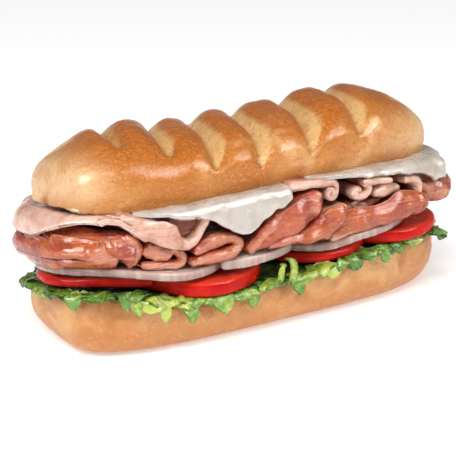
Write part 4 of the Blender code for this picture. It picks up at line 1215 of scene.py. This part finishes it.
# Materials
class Nodes:
    """Shorthand for the nodes of one material."""

    def __init__(self, name):
        self.material = bpy.data.materials.new(name)
        self.material.use_nodes = True
        self.tree = self.material.node_tree
        self.shader = self.tree.nodes["Principled BSDF"]
        self.place = self.tree.nodes.new("ShaderNodeTexCoord").outputs["Object"]

    def put(self, socket, value):
        if isinstance(value, bpy.types.NodeSocket):
            self.tree.links.new(value, socket)
        else:
            socket.default_value = value

    def set(self, **inputs):
        """Values or links for the shader's sockets, with _ for a space in their names."""
        for name, value in inputs.items():
            self.put(self.shader.inputs[name.replace("_", " ")], value)

    def mark(self, name):
        node = self.tree.nodes.new("ShaderNodeAttribute")
        node.attribute_name = name
        return node.outputs["Fac"]

    def texture(self, kind, place, **inputs):
        node = self.tree.nodes.new(kind)
        self.put(node.inputs["Vector"], place)
        for name, value in inputs.items():
            node.inputs[name].default_value = value
        return node.outputs

    def noise(self, scale, detail=3.0, rough=0.55, distort=0.0, stretch=None):
        place = self.place
        if stretch:
            place = self.texture("ShaderNodeMapping", place, Scale=stretch)["Vector"]
        shape = {"Scale": scale, "Detail": detail, "Roughness": rough, "Distortion": distort}
        return self.texture("ShaderNodeTexNoise", place, **shape)["Fac"]

    def cells(self, scale):
        return self.texture("ShaderNodeTexVoronoi", self.place, Scale=scale)["Distance"]

    def span(self, value, low, high, to_low=0.0, to_high=1.0):
        """The value between low and high, smoothly turned into one from to_low to to_high."""
        node = self.tree.nodes.new("ShaderNodeMapRange")
        node.interpolation_type = "SMOOTHSTEP"
        names = ("Value", "From Min", "From Max", "To Min", "To Max")
        for name, given in zip(names, (value, low, high, to_low, to_high)):
            self.put(node.inputs[name], given)
        return node.outputs["Result"]

    def maths(self, operation, a, b):
        node = self.tree.nodes.new("ShaderNodeMath")
        node.operation = operation
        self.put(node.inputs[0], a)
        self.put(node.inputs[1], b)
        return node.outputs[0]

    def add(self, a, b):
        return self.maths("ADD", a, b)

    def times(self, a, b):
        return self.maths("MULTIPLY", a, b)

    def mix(self, first, second, factor):
        node = self.tree.nodes.new("ShaderNodeMix")
        node.data_type = "RGBA"
        self.put(node.inputs[0], factor)
        for socket, colour in ((6, first), (7, second)):
            given = colour if isinstance(colour, bpy.types.NodeSocket) else (*colour, 1.0)
            self.put(node.inputs[socket], given)
        return node.outputs[2]

    def blend(self, first, second, value, low, high, share=1.0):
        """The first colour, turning into the second as the value goes from low to high, up to a share."""
        return self.mix(first, second, self.span(value, low, high, 0.0, share))

    def bumps(self, *layers):
        """Normal from layers of (height, distance in metres), one on another."""
        normal = None
        for height, distance in layers:
            node = self.tree.nodes.new("ShaderNodeBump")
            node.inputs["Strength"].default_value = 1.0
            node.inputs["Distance"].default_value = distance
            self.put(node.inputs["Height"], height)
            if normal is not None:
                self.put(node.inputs["Normal"], normal)
            normal = node.outputs["Normal"]
        return normal

    def soft(self, weight, radius, scale):
        """Light that enters the surface and comes out again nearby."""
        self.set(Subsurface_Weight=weight, Subsurface_Radius=radius, Subsurface_Scale=scale)


CRUST_PALE = (0.66, 0.28, 0.080)
# colour of the painted sheen on the lower flanks at both ends
CRUST_PAINTED_SHEEN = (0.90, 0.60, 0.33)
CRUST_GOLD = (0.54, 0.185, 0.025)
CRUST_BROWN = (0.50, 0.132, 0.012)
CRUST_CLOUD = (0.84, 0.48, 0.20)
CRUST_FLECK = (0.82, 0.44, 0.13)
CRUST_BAND = (0.76, 0.47, 0.19)
# painted shade in the creases in front of the scores
CREASE_PAINTED_SHADE = (0.36, 0.13, 0.03)
CRUST_RIM = (0.50, 0.21, 0.05)
LOWER_LIGHT = (0.66, 0.295, 0.086)
LOWER_DARK = (0.545, 0.195, 0.038)
LOWER_PATCH = (0.80, 0.46, 0.19)
LOWER_EDGE = (0.50, 0.185, 0.038)
LOWER_SPOT = (0.46, 0.165, 0.034)
LOWER_FLECK = (0.80, 0.50, 0.22)
CRUMB = (0.87, 0.70, 0.44)
BREAD_SOFT = (1.0, 0.5, 0.2)


def crust_top():
    n = Nodes("crust_top")
    blotch = n.noise(70, 4, 0.6, 0.4)
    speck = n.noise(1300, 2, 0.5)
    broad = n.noise(28, 2, 0.5, 0.6)
    stain = n.noise(160, 4, 0.65, 0.6)
    fleck = n.noise(700, 4, 0.7)
    high = n.add(n.mark("high"), n.span(blotch, 0.3, 0.7, -0.18, 0.18))
    colour = n.blend(CRUST_PALE, CRUST_GOLD, high, -0.25, 0.45)
    colour = n.blend(colour, CRUST_GOLD, broad, 0.42, 0.60, 0.8)
    colour = n.blend(colour, CRUST_CLOUD, broad, 0.47, 0.36, 0.85)
    colour = n.mix(colour, CRUST_BROWN, n.times(n.span(high, 0.30, 0.85), 0.9))
    colour = n.blend(colour, CRUST_BROWN, broad, 0.50, 0.68, 0.45)
    colour = n.blend(colour, CRUST_BROWN, stain, 0.54, 0.72, 0.4)
    colour = n.blend(colour, CRUST_FLECK, fleck, 0.53, 0.66, 0.4)
    # painted sheen on the lower flanks at both ends, from the pale mark
    pale = n.times(n.mark("pale"), n.span(broad, 0.40, 0.56, 0.45, 1.0))
    colour = n.mix(colour, CRUST_PAINTED_SHEEN, n.times(pale, 0.75))
    band = n.add(n.mark("band"), n.span(blotch, 0.3, 0.7, -0.15, 0.10))
    band = n.span(band, 0.05, 1.0)
    band_colour = n.blend(CRUST_BAND, CRUST_GOLD, speck, 0.42, 0.72, 0.3)
    band_colour = n.blend(band_colour, CRUST_GOLD, blotch, 0.45, 0.70, 0.3)
    colour = n.mix(colour, band_colour, band)
    # painted shade in the creases in front of the scores, from the crease mark
    colour = n.mix(colour, CREASE_PAINTED_SHADE, n.times(n.mark("crease"), 0.6))
    colour = n.mix(colour, CRUST_RIM, n.times(n.mark("rim"), 0.4))
    colour = n.mix(colour, CRUMB, n.mark("crumb"))
    rough = n.add(n.span(blotch, 0.35, 0.65, 0.30, 0.46), n.times(band, 0.25))
    pores, pits, swells = n.noise(260, 4, 0.65), n.noise(520, 3, 0.6, 0.8), n.noise(90, 3, 0.55, 0.4)
    normal = n.bumps((pores, 0.0014), (pits, 0.0007), (speck, 0.00035), (swells, 0.0016))
    n.set(Base_Color=colour, Roughness=rough, Normal=normal)
    n.set(Coat_Weight=0.5, Coat_Roughness=0.24, Specular_IOR_Level=0.12)
    n.soft(0.10, BREAD_SOFT, 0.003)
    return n.material


def crust_bottom():
    n = Nodes("crust_bottom")
    blotch = n.noise(55, 4, 0.6, 0.4)
    freckle = n.noise(480, 3, 0.6)
    patch = n.noise(26, 3, 0.55, 0.8)
    spot = n.noise(180, 4, 0.65, 0.6)
    low = n.add(n.mark("low"), n.span(blotch, 0.3, 0.7, -3.5, 3.5))
    colour = n.blend(LOWER_LIGHT, LOWER_DARK, blotch, 0.42, 0.60)
    colour = n.blend(colour, LOWER_PATCH, patch, 0.54, 0.66, 0.6)
    colour = n.blend(colour, LOWER_EDGE, low, 15.0, 2.0, 0.95)
    colour = n.blend(colour, LOWER_SPOT, spot, 0.57, 0.72, 0.5)
    colour = n.blend(colour, LOWER_FLECK, freckle, 0.54, 0.70, 0.35)
    colour = n.mix(colour, CRUMB, n.mark("crumb"))
    pores, swells, pits = n.noise(240, 4, 0.65), n.noise(70, 3, 0.55, 0.6), n.noise(1300, 2, 0.5)
    wrinkles = n.noise(120, 3, 0.6, 0.8, stretch=(1.6, 1.6, 0.5))
    normal = n.bumps((pores, 0.0008), (swells, 0.0018), (wrinkles, 0.0008), (pits, 0.0002))
    n.set(Base_Color=colour, Roughness=n.span(freckle, 0.35, 0.65, 0.40, 0.55), Normal=normal)
    n.set(Coat_Weight=0.12, Coat_Roughness=0.35)
    n.soft(0.15, BREAD_SOFT, 0.003)
    return n.material


# deep: colour of the painted shade deep between the folds
HAM_COLOURS = {
    "main": (0.49, 0.115, 0.050),
    "other": (0.32, 0.038, 0.015),
    "warm": (0.46, 0.105, 0.020),
    "pale": (0.78, 0.42, 0.28),
    "deep": (0.11, 0.006, 0.004),
}
TURKEY_COLOURS = {
    "main": (0.66, 0.38, 0.285),
    "other": (0.53, 0.24, 0.165),
    "warm": (0.62, 0.32, 0.20),
    "pale": (0.81, 0.62, 0.52),
    "deep": (0.26, 0.05, 0.025),
}
HAM_GRAIN = 0.42
TURKEY_GRAIN = 0.5


def meat(name, grain, main, other, warm, pale, deep):
    """Folded slices: clouded and streaked, paler along their edges, with painted shade deep between the
    folds.
    """
    n = Nodes(name)
    cloud = n.noise(85, 4, 0.6, 0.8)
    fibre = n.noise(330, 4, 0.6, 1.2)
    glow = n.noise(45, 2, 0.5, 0.4)
    layer = n.noise(46, 3, 0.55, 0.5, stretch=(0.45, 1.0, 3.6))
    colour = n.blend(main, other, cloud, 0.38, 0.64)
    colour = n.blend(colour, warm, glow, 0.48, 0.62, 0.8)
    colour = n.blend(colour, other, layer, 0.47, 0.36, 0.75)
    colour = n.blend(colour, pale, layer, 0.56, 0.68, 0.55)
    colour = n.blend(colour, pale, fibre, 0.56, 0.72, grain)
    colour = n.mix(colour, pale, n.times(n.span(n.mark("edge"), 0.6, 1.0), 0.35))
    # painted shade deep between the folds, from the depth mark
    colour = n.blend(colour, deep, n.mark("depth"), 1.5, 7.0, 0.85)
    rough = n.span(n.noise(240, 3, 0.6), 0.38, 0.62, 0.20, 0.48)
    normal = n.bumps((n.noise(110, 2, 0.5, 0.6), 0.0011), (layer, 0.0035), (fibre, 0.00025))
    n.set(Base_Color=colour, Roughness=rough, Normal=normal)
    n.set(Coat_Weight=0.45, Coat_Roughness=0.17, Specular_IOR_Level=0.3)
    n.soft(0.25, (1.0, 0.38, 0.22), 0.003)
    return n.material


CHEESE_COLOURS = {"main": (0.55, 0.495, 0.445), "other": (0.44, 0.37, 0.31), "pale": (0.76, 0.73, 0.69)}
TURKEY_SHEET_COLOURS = {"main": (0.77, 0.50, 0.41), "other": (0.63, 0.34, 0.25), "pale": (0.85, 0.67, 0.58)}


def sheet_look(name, main, other, pale):
    """Smooth hanging slices with a wet shine."""
    n = Nodes(name)
    cloud = n.noise(90, 4, 0.6, 0.6)
    fine = n.noise(420, 3, 0.6, 0.6)
    colour = n.blend(main, other, cloud, 0.40, 0.66)
    colour = n.blend(colour, pale, fine, 0.55, 0.75, 0.25)
    colour = n.mix(colour, pale, n.times(n.mark("edge"), 0.35))
    rough = n.span(n.noise(200, 3, 0.6), 0.38, 0.62, 0.22, 0.44)
    normal = n.bumps((n.noise(85, 2, 0.5, 0.4), 0.0016), (n.noise(500, 2, 0.5), 0.00005))
    n.set(Base_Color=colour, Roughness=rough, Normal=normal)
    n.set(Coat_Weight=0.55, Coat_Roughness=0.10, Specular_IOR_Level=0.4)
    n.soft(0.5, (1.0, 0.7, 0.5), 0.005)
    return n.material


SKIN_DARK = (0.46, 0.004, 0.003)
SKIN_RED = (0.60, 0.014, 0.008)
SKIN_EDGE = (0.76, 0.07, 0.03)
FLESH_RED = (0.50, 0.022, 0.010)
FLESH_LIGHT = (0.62, 0.055, 0.020)
FLESH_POCKET = (0.52, 0.05, 0.012)
FLESH_WALL = (0.62, 0.045, 0.02)


def tomato_look():
    n = Nodes("tomato")
    cloud = n.noise(110, 3, 0.6, 0.5)
    skin = n.blend(SKIN_DARK, SKIN_RED, cloud, 0.38, 0.64)
    skin = n.mix(skin, SKIN_EDGE, n.times(n.span(n.mark("level"), 0.72, 1.0), 0.5))
    flesh = n.blend(FLESH_RED, FLESH_LIGHT, n.noise(600, 3, 0.6), 0.45, 0.7)
    flesh = n.blend(FLESH_POCKET, flesh, n.cells(95), 0.28, 0.46)
    flesh = n.blend(flesh, FLESH_WALL, n.mark("inward"), 7.0, 4.0)
    colour = n.mix(flesh, skin, n.mark("rim"))
    normal = n.bumps((n.noise(350, 3, 0.6), 0.0003))
    n.set(Base_Color=colour, Roughness=n.span(cloud, 0.35, 0.65, 0.14, 0.28), Normal=normal)
    n.set(Coat_Weight=0.14, Coat_Roughness=0.06, Specular_IOR_Level=0.06)
    n.soft(0.15, (1.0, 0.25, 0.12), 0.003)
    return n.material


ONION_DARK = (0.37, 0.255, 0.225)
ONION_LIGHT = (0.48, 0.395, 0.355)
# painted reflection of the ham: pink on the upper part of the rim
ONION_HAM_REFLECTION = (0.72, 0.48, 0.41)
ONION_FACE = (0.84, 0.80, 0.74)
ONION_GROOVE = (0.66, 0.62, 0.50)


def onion_look():
    n = Nodes("onion")
    rim = n.blend(ONION_DARK, ONION_LIGHT, n.mark("stripe"), -0.6, 0.9)
    # painted reflection of the ham on the upper part of the rim
    rim = n.mix(rim, ONION_HAM_REFLECTION, n.times(n.span(n.mark("level"), 0.35, 1.0), 0.42))
    groove = n.span(n.maths("PINGPONG", n.mark("inward"), RING_PITCH / 2), 1.6, 2.3)
    faces = n.mix(ONION_FACE, ONION_GROOVE, n.times(groove, 0.6))
    colour = n.mix(faces, rim, n.mark("rim"))
    normal = n.bumps((n.noise(500, 3, 0.6), 0.00025))
    n.set(Base_Color=colour, Roughness=n.span(n.noise(220), 0.4, 0.6, 0.18, 0.34), Normal=normal)
    n.set(Coat_Weight=0.25, Coat_Roughness=0.12, Specular_IOR_Level=0.25)
    n.soft(0.6, (1.0, 0.85, 0.7), 0.005)
    return n.material


LEAF_DARK = (0.014, 0.055, 0.006)
LEAF_GREEN = (0.125, 0.26, 0.020)
LEAF_PALE = (0.46, 0.56, 0.09)


def lettuce_look():
    n = Nodes("lettuce")
    vein = n.noise(260, 4, 0.6, 1.5)
    tint = n.add(n.mark("tint"), n.span(vein, 0.35, 0.65, -0.12, 0.12))
    tint = n.add(tint, n.times(n.mark("rib"), 0.16))
    colour = n.blend(LEAF_DARK, LEAF_GREEN, tint, 0.0, 0.5)
    colour = n.blend(colour, LEAF_PALE, tint, 0.45, 1.0)
    n.set(Base_Color=colour, Roughness=n.span(vein, 0.35, 0.65, 0.22, 0.42), Normal=n.bumps((vein, 0.0007)))
    n.set(Coat_Weight=0.3, Coat_Roughness=0.2)
    n.soft(0.25, (0.5, 1.0, 0.2), 0.002)
    return n.material


def wear(pieces, start, material):
    """Give a material to the pieces whose names start this way."""
    for piece in pieces:
        if piece.name.startswith(start):
            piece.data.materials.clear()
            piece.data.materials.append(material)


# Build
bottom = make_bottom()
top = make_top()
meats = make_meats() + make_flaps()
sheets = make_sheets()
slices = make_slices()
lettuce = make_lettuce()

ham = meat("ham", HAM_GRAIN, **HAM_COLOURS)
wear([bottom], "bun", crust_bottom())
wear([top], "bun", crust_top())
wear(meats, "ham", ham)
wear(meats, "turkey", meat("turkey", TURKEY_GRAIN, **TURKEY_COLOURS))
# the inner face wears the darker ham colours: painted shade for the hollow of the loop
wear(meats, "turkey_2_inner", ham)
wear(sheets, "cheese", sheet_look("cheese", **CHEESE_COLOURS))
wear(sheets, "turkey", sheet_look("turkey_sheet", **TURKEY_SHEET_COLOURS))
wear(slices, "tomato", tomato_look())
wear(slices, "onion", onion_look())
wear([lettuce], "lettuce", lettuce_look())

# Stage, camera and light
FLOOR_SIZE = 6.0
FLOOR_GREY = 0.90
FLOOR_GLOW = 0.38
WHITE = (1.0, 1.0, 1.0, 1.0)
WORLD_STRENGTH = 0.17
SENSOR_WIDTH = 36.0
NEAR_CLIP = 0.01
VIEW_AZIMUTH = -31.0
VIEW_ELEVATION = 18.5
VIEW_DISTANCE = 0.7
VIEW_TARGET = (0.0, 0.0, 0.05)
FRAME_WIDTH = 456
FOCAL_PIXELS = 1491
CENTRE_PIXEL = (239, 202)


def make_floor():
    mesh = bpy.data.meshes.new("floor")
    half = FLOOR_SIZE / 2
    corners = [(-half, -half, 0), (half, -half, 0), (half, half, 0), (-half, half, 0)]
    mesh.from_pydata(corners, [], [(0, 1, 2, 3)])
    floor = bpy.data.objects.new("floor", mesh)
    bpy.context.scene.collection.objects.link(floor)
    n = Nodes("floor")
    n.set(Base_Color=(FLOOR_GREY, FLOOR_GREY, FLOOR_GREY, 1.0), Roughness=0.6, Specular_IOR_Level=0.2)
    n.set(Emission_Color=WHITE, Emission_Strength=FLOOR_GLOW)
    mesh.materials.append(n.material)


def seen_from(azimuth, elevation, distance):
    """Place and rotation of a camera or light that looks from there towards the middle of the food."""
    a, b = math.radians(azimuth), math.radians(elevation)
    way = (math.sin(a) * math.cos(b), -math.cos(a) * math.cos(b), math.sin(b))
    place = [middle + distance * step for middle, step in zip(VIEW_TARGET, way)]
    return place, (math.pi / 2 - b, 0, a)


def make_camera():
    data = bpy.data.cameras.new("camera")
    camera = bpy.data.objects.new("camera", data)
    bpy.context.scene.collection.objects.link(camera)
    data.sensor_width = SENSOR_WIDTH
    data.lens = data.sensor_width * FOCAL_PIXELS / FRAME_WIDTH
    data.clip_start = NEAR_CLIP
    data.shift_x = -(CENTRE_PIXEL[0] - FRAME_WIDTH / 2) / FRAME_WIDTH
    data.shift_y = (CENTRE_PIXEL[1] - FRAME_WIDTH / 2) / FRAME_WIDTH
    camera.location, camera.rotation_euler = seen_from(VIEW_AZIMUTH, VIEW_ELEVATION, VIEW_DISTANCE)
    bpy.context.scene.camera = camera


LIGHTS = (
    # name, azimuth, elevation, distance, size, watts, lights the matt part too
    ("key", -66.0, 42.0, 0.95, 0.40, 4.2, True),
    ("fill", 30.0, 26.0, 1.0, 0.32, 2.4, True),
    ("left", -84.0, 26.0, 0.9, 0.45, 12.0, False),
    ("right", 34.0, 36.0, 0.9, 0.55, 9.0, False),
    ("shine", -30.0, 50.0, 0.75, 0.10, 0.9, True),
)
SUN_POWER = 1.3
SUN_SOFTNESS = 40.0
SUN_AZIMUTH = -35.0
SUN_ELEVATION = 62.0


def make_lights():
    for name, azimuth, elevation, distance, size, watts, matt in LIGHTS:
        data = bpy.data.lights.new(name, "AREA")
        data.shape = "SQUARE"
        data.size = size
        data.energy = watts
        light = bpy.data.objects.new(name, data)
        light.visible_diffuse = matt
        light.location, light.rotation_euler = seen_from(azimuth, elevation, distance)
        bpy.context.scene.collection.objects.link(light)
    data = bpy.data.lights.new("sun", "SUN")
    data.energy = SUN_POWER
    data.angle = math.radians(SUN_SOFTNESS)
    sun = bpy.data.objects.new("sun", data)
    sun.rotation_euler = (math.radians(90 - SUN_ELEVATION), 0, math.radians(SUN_AZIMUTH))
    sun.visible_glossy = False
    bpy.context.scene.collection.objects.link(sun)
    world = bpy.data.worlds.new("studio")
    world.use_nodes = True
    background = world.node_tree.nodes["Background"]
    background.inputs["Color"].default_value = WHITE
    background.inputs["Strength"].default_value = WORLD_STRENGTH
    bpy.context.scene.world = world


make_floor()
make_camera()
make_lights()
bpy.context.scene.view_settings.view_transform = "Standard"
